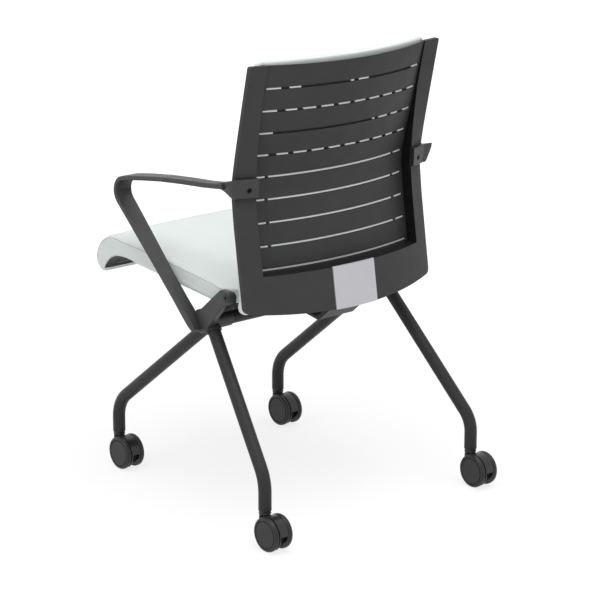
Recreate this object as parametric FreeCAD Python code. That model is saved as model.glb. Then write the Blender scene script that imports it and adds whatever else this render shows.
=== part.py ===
# Nesting armchair on twin-wheel casters, with a seat that flips up about two rear pivots.
# Sizes are in millimetres. The front faces -Y, the sitter's left is +X and the floor is Z = 0.
import FreeCAD, Part
import os
import math

V = FreeCAD.Vector
os.makedirs("parts", exist_ok=True)

# Width that drives the arms, hubs, legs, shell and pan, which all stand off the seat's side
SEAT_HALF = 214.5

# Leg tubes and the crossbar
TUBE_D = 23.5
TUBE_WALL = 2.0
CROSSBAR_D = 25.0
TUBE_END_Z = 67.0
BEND_R = 62.0

# Stem positions and leg lines
FRONT_STEM_X = SEAT_HALF - 18.9
FRONT_STEM_Y = -261.5
FRONT_BEND_Z = 125.6
FRONT_TOP_X = SEAT_HALF - 29.0
FRONT_TOP_Y = 20.0
REAR_STEM_X = SEAT_HALF + 32.8
REAR_STEM_Y = 238.6
REAR_BEND_Z = 121.8
REAR_TOP_X = SEAT_HALF - 7.1
REAR_TOP_Y = 44.2
LEG_TOP_Z = 348.0

# Fits
SLIP = 0.05
TOUCH = 0.15
CUSHION_GAP = 0.4
RUN_GAP = 0.5

# Casters
WHEEL_R = 31.3
WHEEL_W = 10.0
WHEEL_OUT = 19.8
WHEEL_EDGE = 2.6
DISC_R = 22.5
TRAIL = 22.7
HOOD_R = 29.6
HOOD_HALF = WHEEL_OUT - WHEEL_W - RUN_GAP
NECK_D = 20.8
NECK_TOP = 63.4
INSERT_FLANGE = 3.0
INSERT_LEN = 34.0
STEM_D = 11.0
AXLE_D = 8.0

# Hub, crossbar and seat pivot
HUB_Y = 34.0
HUB_Z = 358.0
HUB_R = 22.0
HUB_IN = SEAT_HALF - 48.5
HUB_MID = HUB_IN + 30.0
HUB_OUT = SEAT_HALF + 14.5
HUB_NECK_R = 14.6
BAR_Y = 41.0
BAR_Z = 356.0
SOCKET_DEPTH = 11.0
PIVOT_Y = 111.3
PIVOT_Z = 418.7
LUG_IN = SEAT_HALF + 4.0
LUG_OUT = LUG_IN + 11.5
LUG_R = 9.8
PIN_D = 8.0

# Back shell
SHELL_HALF = SEAT_HALF + 2.5
SHELL_TOP = 833.6
SHELL_CROWN = -4.6
SHELL_LOW = 382.0
SHELL_LOW_RISE = 12.0
SHELL_SIDE_T = 9.0
SHELL_FRONT_SHARE = 0.8
BOW_Y = 116.7
BOW_Z = 610.0
BOW_BLEND = 25.0
LOW_SLOPE = 0.155
TOP_SLOPE = 0.228

# Slatted panel of the shell, sunk between the rails
FIELD_LOW = 457.5
FIELD_HALF = SHELL_HALF - 36.0
PANEL_HALF = FIELD_HALF + 3.0
PANEL_T = 3.2
LEDGE_T = 4.0
SLOT_COUNT = 9
SLOT_FIRST = 461.4
SLOT_PITCH = 41.0
SLOT_H = 4.7
SLOT_HALF = FIELD_HALF - 5.0

# Stations up the back: height, bow of the rear face, panel offset at its sides, panel offset in the middle
BACK_STATIONS = (
    (370.0, 46.0, -12.0, 13.0), (458.0, 46.0, -12.0, 13.0), (543.0, 46.0, -12.0, 16.0), (626.0, 46.0, -12.0, 21.5),
    (667.0, 30.0, -10.0, 26.0), (707.0, 19.0, -7.0, 31.0), (748.0, 8.0, -5.0, 34.0), (789.0, 8.0, -3.5, 35.0),
    (850.0, 8.0, 0.0, 34.5))
# Offset of the cushion's front face in the middle, at the same heights
CUSHION_FRONT = (-17.0, -20.0, -25.0, -22.0, -19.0, -14.0, -10.0, -8.0, -7.0)

# Cushions
BACK_T_SIDE = 22.0
BACK_SLIM = 3.5
BACK_TOE = 5.0
BACK_T_MID = 33.0
BACK_HALF = SHELL_HALF - 2.0
BACK_HALF_TOP = SHELL_HALF - 19.0
BACK_LOW = 388.0
BACK_TOP = 839.0

# Arms
PAD_IN = FIELD_HALF
PAD_OUT = SHELL_HALF + 18.0
PAD_LOW = 598.0
PAD_HIGH = 631.5
PAD_PROUD = 8.0
GUSSET_TOP = (88.0, 621.2)
GUSSET_ROOT = (92.0, 612.5)
PAD_SINK = 3.0
PAD_GAP = 0.6
ARM_SCREW_X = SHELL_HALF - 19.0
ARM_SCREW_Z = 611.0

# Heights at which the curved strips have a section, closer where the rails bend
LEVELS = (378, 458, 543, 600, 626, 667, 707, 748, 789, 842)

# Centre plate on the lower band, and the folded bracket behind it
SLOT_Z = [SLOT_FIRST + SLOT_PITCH * i for i in range(SLOT_COUNT)]
PLATE_HALF = 48.0
PLATE_TOP = 458.6
PLATE_T = 2.0
PLATE_SINK = 1.2
BRACKET_HALF = 39.5
BRACKET_T = 4.0
BRACKET_SCREW_X = 22.0
BRACKET_SCREW_Z = 416.0
BRACKET_TAB_TOP = 438.0

# Rib carrier between shell and cushion
TIE_H = 9.0
CARRIER_LOW = SLOT_FIRST + (SLOT_PITCH - TIE_H) / 2
CARRIER_TOP = 812.0
RIB_PITCH = 36.0
RIB_W = 9.0
RIB_SIDE_W = 5.0
CARRIER_HALF = FIELD_HALF - 17.0
RIB_SIDE_X = CARRIER_HALF - 17.5
CARRIER_T = 3.2
CARRIER_EDGE_T = 1.4

# Side outline of the seat: crest, waterfall nose, lip, hollow behind the lip, underside and rear
SEAT_CREST = (-241.0, 456.0)
SEAT_NOSE = (-303.0, 405.0)
SEAT_LIP = (-292.0, 384.0)
SEAT_LIP_IN = (-272.0, 382.5)
ARCH_EDGE = (-263.0, 397.0)
ARCH_MID = (-251.5, 409.2)
ARCH_TOP = (-232.0, 417.5)
ARCH_REAR = (-204.0, 418.6)
ARCH_BACK = (-176.0, 416.5)
SKIRT = 3.0
SEAT_LOW_REAR = (108.0, 391.0)
SEAT_REAR = 118.0
SEAT_TOP_REAR = 427.5
PAN_T = 4.0
PAN_HALF = SEAT_HALF - 14.5
PAN_INSET = 4.0

# Pan, hinge plates and bumpers under the seat
RIB_T = 3.0
PAN_RIBS = (-80, 0, 80)
COLUMN_HALF = 6.5
COLUMN_TOP = 400.0
FLANGE_Z = 384.4
FLANGE_T = 3.6
FLANGE_Y = (36.0, 86.0)
EAR_IN = SEAT_HALF - 1.9
EAR_OUT = LUG_IN - RUN_GAP
EAR_R = 8.6
EAR_DROP = 21.0
BUMP_X = 120.0
FLANGE_SCREW_Y = (48.0, 78.0)
FLANGE_SCREW_X = EAR_IN - 44.6
BUMP_PAD_Z = 391.0

# Screws and pivot pins
ARM_SCREW_D = 6.0
ARM_HEAD_D = 10.0
ARM_HEAD_H = 5.0
SMALL_SCREW_D = 4.0
SMALL_HEAD_D = 8.0
SMALL_HEAD_H = 2.6
PIN_HEAD_D = 15.0
PIN_HEAD_H = 3.0

# Front corner of the arm, and its blade: run angle in degrees at each station
CORNER_Y = -157.3
CORNER_Z = 560.3
CORNER_R = 26.5
CORNER_STEPS = (9, 28, 47, 66, 85, 104, 121, 136.7)
BLADE_T = 8.4
BLADE_EDGE_OUT = 1.7
BLADE_EDGE_IN = 0.8

# Level run of the arm, from the rear forward: y, top z, thickness, inner and outer edge beyond the seat's side
ARM_RUN = (
    (118, 626.8, 10.0, 4.0, 27.5), (97, 623.4, 9.2, 4.0, 29.0), (66, 619.6, 8.8, 4.2, 30.5),
    (10, 615.0, 8.5, 5.0, 33.0), (-50, 608.8, 8.2, 5.0, 35.5), (-105, 600.8, 8.2, 3.5, 37.0),
    (-140, 594.9, 8.2, 2.5, 37.5))
# Front corner: inner and outer edge beyond the seat's side
CORNER_IN = 1.5
CORNER_OUT = 37.5
# Sloping bar, from the front corner down: distance along it, inner and outer edge beyond the seat's side, thickness
ARM_SLOPE = (
    (45, 2.5, 35.0, 9.4), (160, 5.5, 32.5, 10.2), (220, 6.0, 31.5, 11.0), (252, 6.0, 31.0, 13.0),
    (274, 6.0, 30.5, 13.5), (284, 6.0, 30.0, 11.0), (289, 6.0, 29.5, 6.0))
ARM_SLOPE_ANGLE = 46.7
LUG_RISE = 40.0
LUG_FALL = 46.5

# Legs: stem x and y, bend height, top x and y
FRONT_LEG = (FRONT_STEM_X, FRONT_STEM_Y, FRONT_BEND_Z, FRONT_TOP_X, FRONT_TOP_Y)
REAR_LEG = (REAR_STEM_X, REAR_STEM_Y, REAR_BEND_Z, REAR_TOP_X, REAR_TOP_Y)


def save(shape, name):
    # the assembly is centred front to back, between the seat's nose and the rear wheels
    rearmost = REAR_STEM_Y + TRAIL + WHEEL_R
    out = shape.copy()
    out.translate(V(0, -(SEAT_NOSE[0] + rearmost) / 2, 0))
    out.exportStep("parts/" + name + ".step")


def mirrored(shape):
    return shape.mirror(V(0, 0, 0), V(1, 0, 0))


def polygon(points):
    pts = list(points) + [points[0]]
    return Part.Face(Part.makePolygon(pts))


def wire_of(edges):
    return Part.Wire(edges)


def arc3(a, b, c):
    return Part.Arc(a, b, c).toShape()


def rod(radius, start, end):
    axis = end - start
    return Part.makeCylinder(radius, axis.Length, start, axis)


def prism_x(face, x0, x1):
    solid = face.extrude(V(x1 - x0, 0, 0))
    solid.translate(V(x0, 0, 0))
    return solid


def yz(y, z):
    return V(0, y, z)


def edges_where(shape, test):
    return [e for e in shape.Edges if test(e)]


# Curved back surfaces, laid out from the bow of the side rails
def rail_y(z):
    lean = (TOP_SLOPE - LOW_SLOPE) / 2
    fold = (TOP_SLOPE + LOW_SLOPE) / 2
    return BOW_Y + lean * (z - BOW_Z) + fold * math.hypot(z - BOW_Z, BOW_BLEND)


def bow(x, half, sag):
    radius = (half * half + sag * sag) / (2 * sag)
    return math.sqrt(radius * radius - x * x) - (radius - sag)


def station(z, column):
    rows = BACK_STATIONS
    for a, b in zip(rows, rows[1:]):
        if z <= b[0]:
            t = max(0.0, (z - a[0]) / (b[0] - a[0]))
            return a[column] + (b[column] - a[column]) * t
    return rows[-1][column]


def cushion_front(z):
    heights = [row[0] for row in BACK_STATIONS]
    for i in range(len(heights) - 1):
        if z <= heights[i + 1]:
            t = max(0.0, (z - heights[i]) / (heights[i + 1] - heights[i]))
            return CUSHION_FRONT[i] + (CUSHION_FRONT[i + 1] - CUSHION_FRONT[i]) * t
    return CUSHION_FRONT[-1]


def rear_y(x, z):
    return rail_y(z) + bow(x, SHELL_HALF, station(z, 1))


def front_y(x, z):
    return rail_y(z) - SHELL_SIDE_T + bow(x, SHELL_HALF, station(z, 1) * SHELL_FRONT_SHARE)


def panel_y(x, z):
    side = station(z, 2)
    return rail_y(z) + side + bow(x, PANEL_HALF, station(z, 3) - side)


def slab(heights, rear, front):
    # rear and front give (half width, y at the side, y at the middle) for a height
    wires = []
    for z in heights:
        rh, rs, rm = rear(z)
        fh, fs, fm = front(z)
        a = V(-rh, rs, z)
        b = V(0, rm, z)
        c = V(rh, rs, z)
        d = V(fh, fs, z)
        e = V(0, fm, z)
        f = V(-fh, fs, z)
        wires.append(wire_of([arc3(a, b, c), Part.makeLine(c, d), arc3(d, e, f), Part.makeLine(f, a)]))
    return Part.makeLoft(wires, True, True)


def spread(low, high, count):
    return [low + (high - low) * i / (count - 1) for i in range(count)]


def levels(low, high):
    return [low] + [z for z in LEVELS if low + 6 < z < high - 6] + [high]


# Back shell: rails and lower band, with a slatted panel sunk between them
def band(z0, z1, half, rear_off, front_off):
    # a curved strip whose faces follow the shell's rear face and front face
    def rear(z):
        return (half, rear_y(half, z) + rear_off, rear_y(0, z) + rear_off)

    def front(z):
        return (half, front_y(half, z) - front_off, front_y(0, z) - front_off)
    return slab(levels(z0, z1), rear, front)


def shell_outline(inset, low_lift):
    half = SHELL_HALF - inset
    top = SHELL_TOP - inset
    low = SHELL_LOW + low_lift
    a = V(-half, 0, low + SHELL_LOW_RISE)
    b = V(0, 0, low)
    c = V(half, 0, low + SHELL_LOW_RISE)
    d = V(half, 0, top)
    e = V(0, 0, top + SHELL_CROWN)
    f = V(-half, 0, top)
    face = Part.Face(wire_of([arc3(a, b, c), Part.makeLine(c, d), arc3(d, e, f), Part.makeLine(f, a)]))
    return face.extrude(V(0, 400, 0))


def rounded_outline(inset, low_lift, r_low, r_top):
    body = shell_outline(inset, low_lift)
    along = edges_where(body, lambda e: abs(e.BoundBox.XLength) < 0.01 and abs(e.BoundBox.ZLength) < 0.01)
    low = [e for e in along if e.BoundBox.ZMax < 600]
    top = [e for e in along if e.BoundBox.ZMax > 600]
    return body.makeFillet(r_low, low).makeFillet(r_top, top)


def panel():
    def rear(z):
        return (PANEL_HALF, panel_y(PANEL_HALF, z), panel_y(0, z))

    def front(z):
        return (PANEL_HALF, panel_y(PANEL_HALF, z) - PANEL_T, panel_y(0, z) - PANEL_T)
    return slab(levels(FIELD_LOW - LEDGE_T, SHELL_TOP + 4), rear, front)


def ledge():
    # the floor of the sunk field, from the lower band forward to the panel
    def rear(z):
        return (PANEL_HALF, rear_y(PANEL_HALF, z) - 1, rear_y(0, z) - 1)

    def front(z):
        return (PANEL_HALF, panel_y(PANEL_HALF, z) - PANEL_T, panel_y(0, z) - PANEL_T)
    return slab([FIELD_LOW - LEDGE_T, FIELD_LOW], rear, front)


def cheek(s):
    # the upright wall between panel and rail
    wires = []
    for z in levels(FIELD_LOW - LEDGE_T, SHELL_TOP - 1):
        y1 = rear_y(PANEL_HALF, z) - 0.8
        a = V(s * FIELD_HALF, inner_y(FIELD_HALF, z), z)
        b = V(s * (PANEL_HALF + 0.6), inner_y(PANEL_HALF, z), z)
        c = V(s * (PANEL_HALF + 0.6), y1, z)
        d = V(s * FIELD_HALF, y1, z)
        wires.append(Part.makePolygon([a, b, c, d, a]))
    return Part.makeLoft(wires, True, True)


def stadium(x0, x1, z, height, y0, y1):
    r = height / 2
    a = V(x0 + r, y0, z + r)
    b = V(x1 - r, y0, z + r)
    c = V(x1 - r, y0, z - r)
    d = V(x0 + r, y0, z - r)
    face = Part.Face(wire_of([
        Part.makeLine(a, b),
        arc3(b, V(x1, y0, z), c),
        Part.makeLine(c, d),
        arc3(d, V(x0, y0, z), a)]))
    return face.extrude(V(0, y1 - y0, 0))


def shell():
    outline = rounded_outline(0, 0, 11, 4)
    body = band(SHELL_LOW - 4, SHELL_TOP + 8, SHELL_HALF + 3, 0, 0)
    body = body.common(outline)
    body = body.cut(Part.makeBox(2 * FIELD_HALF, 400, 500, V(-FIELD_HALF, 0, FIELD_LOW)))
    body = body.fuse([panel().common(outline), ledge(), cheek(1).common(outline), cheek(-1).common(outline)])
    cuts = []
    for z in SLOT_Z:
        cuts.append(stadium(-SLOT_HALF, SLOT_HALF, z, SLOT_H, 60, 320))
    # pockets for the arm pads
    pocket = band(PAD_LOW - PAD_GAP, PAD_HIGH + PAD_GAP, SHELL_HALF + 3, 20, 0)
    pocket = pocket.cut(band(PAD_LOW - 9, PAD_HIGH + 9, SHELL_HALF + 6, -PAD_SINK, 5))
    keep = Part.makeBox(60, 300, 80, V(PAD_IN - 1.5, 0, PAD_LOW - 20))
    pocket = pocket.common(keep)
    cuts.append(pocket)
    cuts.append(mirrored(pocket))
    # shallow seat of the centre plate
    sink = band(SHELL_LOW - 10, FIELD_LOW + 6, SHELL_HALF, 20, 0)
    sink = sink.cut(band(SHELL_LOW - 16, FIELD_LOW + 12, SHELL_HALF + 3, -PLATE_SINK, 5))
    width = 2 * PLATE_HALF + 0.6
    cuts.append(sink.common(Part.makeBox(width, 300, 200, V(-width / 2, 0, SHELL_LOW - 20))))
    # bores for the arm screws and the bracket screws
    for s in (-1, 1):
        x = s * ARM_SCREW_X
        cuts.append(rod(ARM_SCREW_D / 2 + SLIP, V(x, 60, ARM_SCREW_Z), V(x, 200, ARM_SCREW_Z)))
        x = s * BRACKET_SCREW_X
        y = front_y(x, BRACKET_SCREW_Z)
        cuts.append(rod(SMALL_SCREW_D / 2 + SLIP, V(x, y - 3, BRACKET_SCREW_Z), V(x, y + 7, BRACKET_SCREW_Z)))
    return body.cut(cuts)


def plate():
    rear = band(SHELL_LOW - 6, PLATE_TOP, SHELL_HALF, PLATE_T, 0)
    rear = rear.cut(band(SHELL_LOW - 12, PLATE_TOP + 6, SHELL_HALF + 3, -PLATE_SINK + 0.1, 5))
    rear = rear.common(Part.makeBox(2 * PLATE_HALF, 300, 200, V(-PLATE_HALF, 0, SHELL_LOW - 20)))
    return rear.common(shell_outline(0, 0.4))


# Rib carrier between shell and cushion: upright ribs with a few cross ties


def inner_y(x, z):
    # front face of the panel, which the carrier and the cushion follow
    return panel_y(x, z) - PANEL_T


def carrier():
    def rear(z):
        return (CARRIER_HALF, inner_y(CARRIER_HALF, z) - TOUCH, inner_y(0, z) - TOUCH)

    def front(z):
        return (CARRIER_HALF, inner_y(CARRIER_HALF, z) - CARRIER_EDGE_T, inner_y(0, z) - CARRIER_T)
    sheet = slab(levels(CARRIER_LOW, CARRIER_TOP), rear, front)
    bars = []
    upper_low = SLOT_Z[5] - 14
    for i in range(-3, 4):
        x = i * RIB_PITCH - RIB_W / 2
        bars.append(Part.makeBox(RIB_W, 300, CARRIER_TOP - upper_low, V(x, 0, upper_low)))
    for s in (-1, 1):
        x = s * RIB_SIDE_X - RIB_SIDE_W / 2
        bars.append(Part.makeBox(RIB_SIDE_W, 300, CARRIER_TOP - CARRIER_LOW, V(x, 0, CARRIER_LOW)))
        # the side ribs widen inwards above the lower slots
        x = s * (RIB_SIDE_X - RIB_W / 2) - RIB_W / 2 - RIB_SIDE_W / 2 * s
        bars.append(Part.makeBox(RIB_W, 300, CARRIER_TOP - upper_low, V(x, 0, upper_low)))
    reach = RIB_SIDE_X + RIB_SIDE_W / 2
    for low in (CARRIER_LOW, upper_low, CARRIER_TOP - TIE_H):
        bars.append(Part.makeBox(2 * reach, 300, TIE_H, V(-reach, 0, low)))
    # ties behind the first and third slots from the top
    for z, x0, x1 in ((SLOT_Z[8], -reach, -30), (SLOT_Z[8], 14, 110), (SLOT_Z[6], -60, 134)):
        bars.append(Part.makeBox(x1 - x0, 300, TIE_H, V(x0, 0, z - TIE_H / 2)))
    frame = bars[0].multiFuse(bars[1:]).removeSplitter()
    return sheet.common(frame)


# Back cushion: a crowned pad whose ends and sides are drawn in
def back_half(z):
    # narrower at the top than at the bottom
    t = (BACK_TOP - z) / (BACK_TOP - BACK_LOW)
    return BACK_HALF_TOP + (BACK_HALF - BACK_HALF_TOP) * t ** 2.4


def back_cushion():
    # sections from the bottom up: height, thinning of the front, drawing in of the sides, swell of the lower edge
    wires = []
    below = FIELD_LOW - LEDGE_T - TOUCH
    stations = [(BACK_LOW, 5.0, 6.0, BACK_TOE), (BACK_LOW + 5, 1.0, 1.5, BACK_TOE), (BACK_LOW + 14, 0, 0, BACK_TOE)]
    stations += [(BACK_LOW + 24, 0, 0, 0), (below - 4, 0, 0, 0)]
    stations += [(z, 0, 0, 0) for z in levels(below, BACK_TOP - 30)[:-1]]
    stations += [(BACK_TOP - 16, 1.0, 2.5, 0), (BACK_TOP - 5, 4.0, 7.0, 0), (BACK_TOP, 9.0, 14.0, 0)]
    for z, thin, narrow, swell in stations:
        out = back_half(z) - narrow
        half = out - 5
        knee = min(half - 1.5, PANEL_HALF + 5)
        toe = min(knee - 2.5, PANEL_HALF + 1)
        flat_y = min(rail_y(z) - SHELL_SIDE_T, inner_y(PANEL_HALF, z) + 5) - CUSHION_GAP - thin * 0.3
        toe_y = inner_y(PANEL_HALF, z) - CUSHION_GAP * 3
        toe_y = min(toe_y, front_y(FIELD_HALF, z) - CUSHION_GAP * 5) - thin * 0.3
        if z < below - 1:
            toe_y = flat_y
        mid_r = inner_y(0, z) - CARRIER_T - CUSHION_GAP * 2 - thin * 0.3
        slim = BACK_SLIM * max(0.0, min(1.0, (500 - z) / 70))
        side_f = rail_y(z) - SHELL_SIDE_T - BACK_T_SIDE + thin + slim - swell
        mid_f = rail_y(z) + cushion_front(z) + thin
        wires.append(wire_of([
            arc3(V(-toe, toe_y, z), V(0, mid_r, z), V(toe, toe_y, z)),
            Part.makeLine(V(toe, toe_y, z), V(knee, flat_y, z)),
            Part.makeLine(V(knee, flat_y, z), V(half, flat_y, z)),
            arc3(V(half, flat_y, z), V(out, (flat_y + side_f) / 2, z), V(half, side_f, z)),
            arc3(V(half, side_f, z), V(0, mid_f, z), V(-half, side_f, z)),
            arc3(V(-half, side_f, z), V(-out, (flat_y + side_f) / 2, z), V(-half, flat_y, z)),
            Part.makeLine(V(-half, flat_y, z), V(-knee, flat_y, z)),
            Part.makeLine(V(-knee, flat_y, z), V(-toe, toe_y, z))]))
    return Part.makeLoft(wires, True, True)


# Seat: the cushion with its waterfall front and hollow underside


def seat_profile(x, inset, crown):
    # the closed side outline, shrunk by inset and raised by crown along its top
    def p(y, z):
        return V(x, y, z)
    i = inset
    crest = p(SEAT_CREST[0], SEAT_CREST[1] - i + crown)
    top_mid = p(-65, 445.0 - i + crown * 1.3)
    top_rear = p(SEAT_REAR - 12, SEAT_TOP_REAR - i)
    rear_mid = p(SEAT_REAR - i, (SEAT_TOP_REAR + SEAT_LOW_REAR[1]) / 2)
    rear_low = p(SEAT_REAR - 8, SEAT_LOW_REAR[1] - 0.7 + i)
    arch_back = p(ARCH_BACK[0], ARCH_BACK[1] - SKIRT + i)
    arch_top = p(ARCH_TOP[0], ARCH_TOP[1] + i * 0.5)
    lip_in = p(SEAT_LIP_IN[0] - i * 0.4, SEAT_LIP_IN[1] + i)
    lip_low = p((SEAT_LIP[0] + SEAT_LIP_IN[0]) / 2, SEAT_LIP[1] - 5 + i)
    lip = p(SEAT_LIP[0] + i * 0.4, SEAT_LIP[1] + i)
    nose = p(SEAT_NOSE[0] + i, SEAT_NOSE[1])
    brow = p(SEAT_CREST[0] - 42, SEAT_CREST[1] - 15 - i * 0.8 + crown * 0.8)
    low_mid = p(-40, 402.8 + i)
    arch_mid = p(ARCH_MID[0] - 2.0, ARCH_MID[1] - 1.0 + i * 0.5)
    return wire_of([
        arc3(crest, top_mid, top_rear),
        arc3(top_rear, rear_mid, rear_low),
        arc3(rear_low, low_mid, arch_back),
        arc3(arch_back, p((ARCH_BACK[0] + ARCH_TOP[0]) / 2, ARCH_BACK[1] + 1.5 + i), arch_top),
        arc3(arch_top, arch_mid, lip_in),
        arc3(lip_in, lip_low, lip),
        arc3(lip, p(SEAT_NOSE[0] + 2.8 + i, 393.5), nose),
        arc3(nose, brow, crest)])


def seat_plan(grow):
    # plan outline: rounded front corners, wide rear corners and a rear edge that bows with the back
    half = SEAT_HALF + grow
    side_rear = 70.0
    a = V(-half, SEAT_NOSE[0] - 8 - grow, 0)
    b = V(half, SEAT_NOSE[0] - 8 - grow, 0)
    c = V(half, side_rear, 0)
    d = V(half - 40, 106.0 + grow, 0)
    e = V(0, SEAT_REAR + grow, 0)
    m = V(half - 9, 94.0, 0)

    def flip(p):
        return V(-p.x, p.y, p.z)
    face = Part.Face(wire_of([
        Part.makeLine(a, b), Part.makeLine(b, c), arc3(c, m, d), arc3(d, e, flip(d)),
        arc3(flip(d), flip(m), flip(c)), Part.makeLine(flip(c), a)]))
    return face.extrude(V(0, 0, SEAT_CREST[1] * 2))


def seat_cushion():
    stations = [(-SEAT_HALF, 7.0, 0.0), (-SEAT_HALF + 2.0, 3.0, 0.0), (-SEAT_HALF + 7, 0.0, 0.6)]
    stations += [(-170, 0, 2.4), (-110, 0, 4.0), (-50, 0, 4.8), (0, 0, 5.0)]
    stations += [(-x, i, c) for x, i, c in reversed(stations[:-1])]
    wires = [seat_profile(x, i, c) for x, i, c in stations]
    body = Part.makeLoft(wires, True, True)
    body = body.common(seat_plan(0))
    body = body.cut(pan_tool(-14.0, PAN_T + CUSHION_GAP, PAN_HALF + CUSHION_GAP))
    # room for the hinge plates at the rear corners
    room = hinge_plate(1.0)
    room = prism_x(room, EAR_IN - 1.0, EAR_OUT + 4)
    return body.cut([room, mirrored(room)])


def pan_tool(drop, thick, half):
    # the underside sheet: follows the hollow behind the front lip and the long underside
    low_y = 108.0
    edge = -half

    def under(lift):
        return [V(edge, low_y, 394.9 + lift), V(edge, -40, 407.3 + lift), V(edge, ARCH_BACK[0], ARCH_BACK[1] + lift)]
    r0, m0, a0 = under(drop)
    r1, m1, a1 = under(thick)
    k = drop * 0.45
    j = thick
    t0 = V(edge, ARCH_TOP[0] - k * 0.1, ARCH_TOP[1] + drop)
    t1 = V(edge, ARCH_TOP[0] - j * 0.1, ARCH_TOP[1] + j)
    e0 = V(edge, ARCH_EDGE[0] - k, ARCH_EDGE[1] + k * 0.3)
    e1 = V(edge, ARCH_EDGE[0] - j, ARCH_EDGE[1] + j * 0.3)
    return Part.Face(wire_of([
        arc3(r0, m0, a0),
        arc3(a0, V(edge, ARCH_REAR[0], ARCH_REAR[1] + drop), t0),
        arc3(t0, V(edge, ARCH_MID[0] - k * 0.45, ARCH_MID[1] + k * 0.75), e0),
        Part.makeLine(e0, e1),
        arc3(e1, V(edge, ARCH_MID[0] - j * 0.85, ARCH_MID[1] + j * 0.75), t1),
        arc3(t1, V(edge, ARCH_REAR[0], ARCH_REAR[1] + j), a1),
        arc3(a1, m1, r1),
        Part.makeLine(r1, r0)])).extrude(V(2 * half, 0, 0))


def seat_pan():
    body = pan_tool(0.0, PAN_T, PAN_HALF).common(seat_plan(-PAN_INSET))
    # stiffening ribs under the sheet, a boss over each bumper and columns for the hinge screws
    ribs = []
    for x in PAN_RIBS:
        face = polygon([
            yz(-160, 417), yz(-150, 408), yz(-40, 399), yz(60, 392.5), yz(84, 398.5),
            yz(84, 400.5), yz(-40, 410), yz(-150, 417.5)])
        ribs.append(prism_x(face, x - RIB_T / 2, x + RIB_T / 2))
    low = FLANGE_Z + FLANGE_T + TOUCH
    for s in (-1, 1):
        ribs.append(Part.makeCylinder(13, 12, V(s * BUMP_X, BAR_Y, BUMP_PAD_Z)))
        for y in FLANGE_SCREW_Y:
            corner = V(s * FLANGE_SCREW_X - COLUMN_HALF, y - COLUMN_HALF, low)
            ribs.append(Part.makeBox(2 * COLUMN_HALF, 2 * COLUMN_HALF, COLUMN_TOP - low, corner))
    body = body.multiFuse(ribs).removeSplitter()
    for s in (-1, 1):
        body = body.cut(Part.makeCylinder(4.05, 12, V(s * BUMP_X, BAR_Y, BUMP_PAD_Z - 1)))
        for y in FLANGE_SCREW_Y:
            body = body.cut(Part.makeCylinder(SMALL_SCREW_D / 2 + SLIP, 15, V(s * FLANGE_SCREW_X, y, low - 1)))
    return body


def hinge_plate(grow):
    # side outline of the upright hinge plate: from the pivot forward and down, behind the arm's lug
    g = grow
    r = EAR_R + g
    y0 = PIVOT_Y
    z0 = PIVOT_Z
    # the cushion's room reaches lower than the plate itself
    drop = 4 if grow else 0
    return polygon([
        yz(y0 + r * 0.38, z0 + r * 0.92), yz(y0 + r * 0.92, z0 + r * 0.38), yz(y0 + r * 0.92, z0 - r * 0.38),
        yz(y0 + r * 0.92, z0 - EAR_DROP - g), yz(y0 - 8, z0 - EAR_DROP - 4 - g), yz(FLANGE_Y[1] - 2 + g, FLANGE_Z - drop),
        yz(FLANGE_Y[0] + 10 - g, FLANGE_Z - drop), yz(FLANGE_Y[0] + 10 - g, FLANGE_Z + 5 + g),
        yz(FLANGE_Y[0] + 22 - g, FLANGE_Z + 13.6 + g),
        yz(y0 - r * 0.7, z0 + r * 0.72), yz(y0 - r * 0.38, z0 + r * 0.92)])


def hinge():
    plate_body = prism_x(hinge_plate(0), EAR_IN, EAR_OUT)
    inner = FLANGE_SCREW_X - 13
    outer = EAR_IN + 1
    front, rear = FLANGE_Y
    flange = polygon([
        V(inner, front + 4, FLANGE_Z), V(inner, rear - 6, FLANGE_Z), V(inner + 10, rear, FLANGE_Z),
        V(outer, rear - 2, FLANGE_Z), V(outer, front + 10, FLANGE_Z), V(inner + 14, front, FLANGE_Z)])
    flange = flange.extrude(V(0, 0, FLANGE_T))
    body = plate_body.fuse(flange).removeSplitter()
    body = body.cut(rod(PIN_D / 2 + SLIP, V(150, PIVOT_Y, PIVOT_Z), V(240, PIVOT_Y, PIVOT_Z)))
    for y in FLANGE_SCREW_Y:
        body = body.cut(Part.makeCylinder(SMALL_SCREW_D / 2 + SLIP, 20, V(FLANGE_SCREW_X, y, FLANGE_Z - 5)))
    return body


def bumper():
    low = BAR_Z + CROSSBAR_D / 2 - 2.5
    body = Part.makeCylinder(11, BUMP_PAD_Z - TOUCH - low, V(BUMP_X, BAR_Y, low))
    body = body.fuse(Part.makeCylinder(4.0, 10, V(BUMP_X, BAR_Y, BUMP_PAD_Z - TOUCH))).removeSplitter()
    saddle = rod(CROSSBAR_D / 2 + 0.2, V(BUMP_X - 30, BAR_Y, BAR_Z), V(BUMP_X + 30, BAR_Y, BAR_Z))
    return body.cut(saddle)


# Seat pivot pins, clips and the small screws


def pivot_pin():
    tip = EAR_IN - 3.2
    neck = V(LUG_OUT - PIN_HEAD_H, PIVOT_Y, PIVOT_Z)
    body = rod(PIN_D / 2, V(tip, PIVOT_Y, PIVOT_Z), neck)
    body = body.fuse(rod(PIN_HEAD_D / 2, neck, V(LUG_OUT + 0.6, PIVOT_Y, PIVOT_Z)))
    groove = rod(PIN_D / 2 + 1, V(tip + 1.2, PIVOT_Y, PIVOT_Z), V(tip + 2.4, PIVOT_Y, PIVOT_Z))
    groove = groove.cut(rod(PIN_D / 2 - 0.8, V(tip, PIVOT_Y, PIVOT_Z), V(tip + 5, PIVOT_Y, PIVOT_Z)))
    body = body.cut(groove)
    return body.cut(hex_socket(V(LUG_OUT - 2.2, PIVOT_Y, PIVOT_Z), V(1, 0, 0), 5.0, 4))


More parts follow.
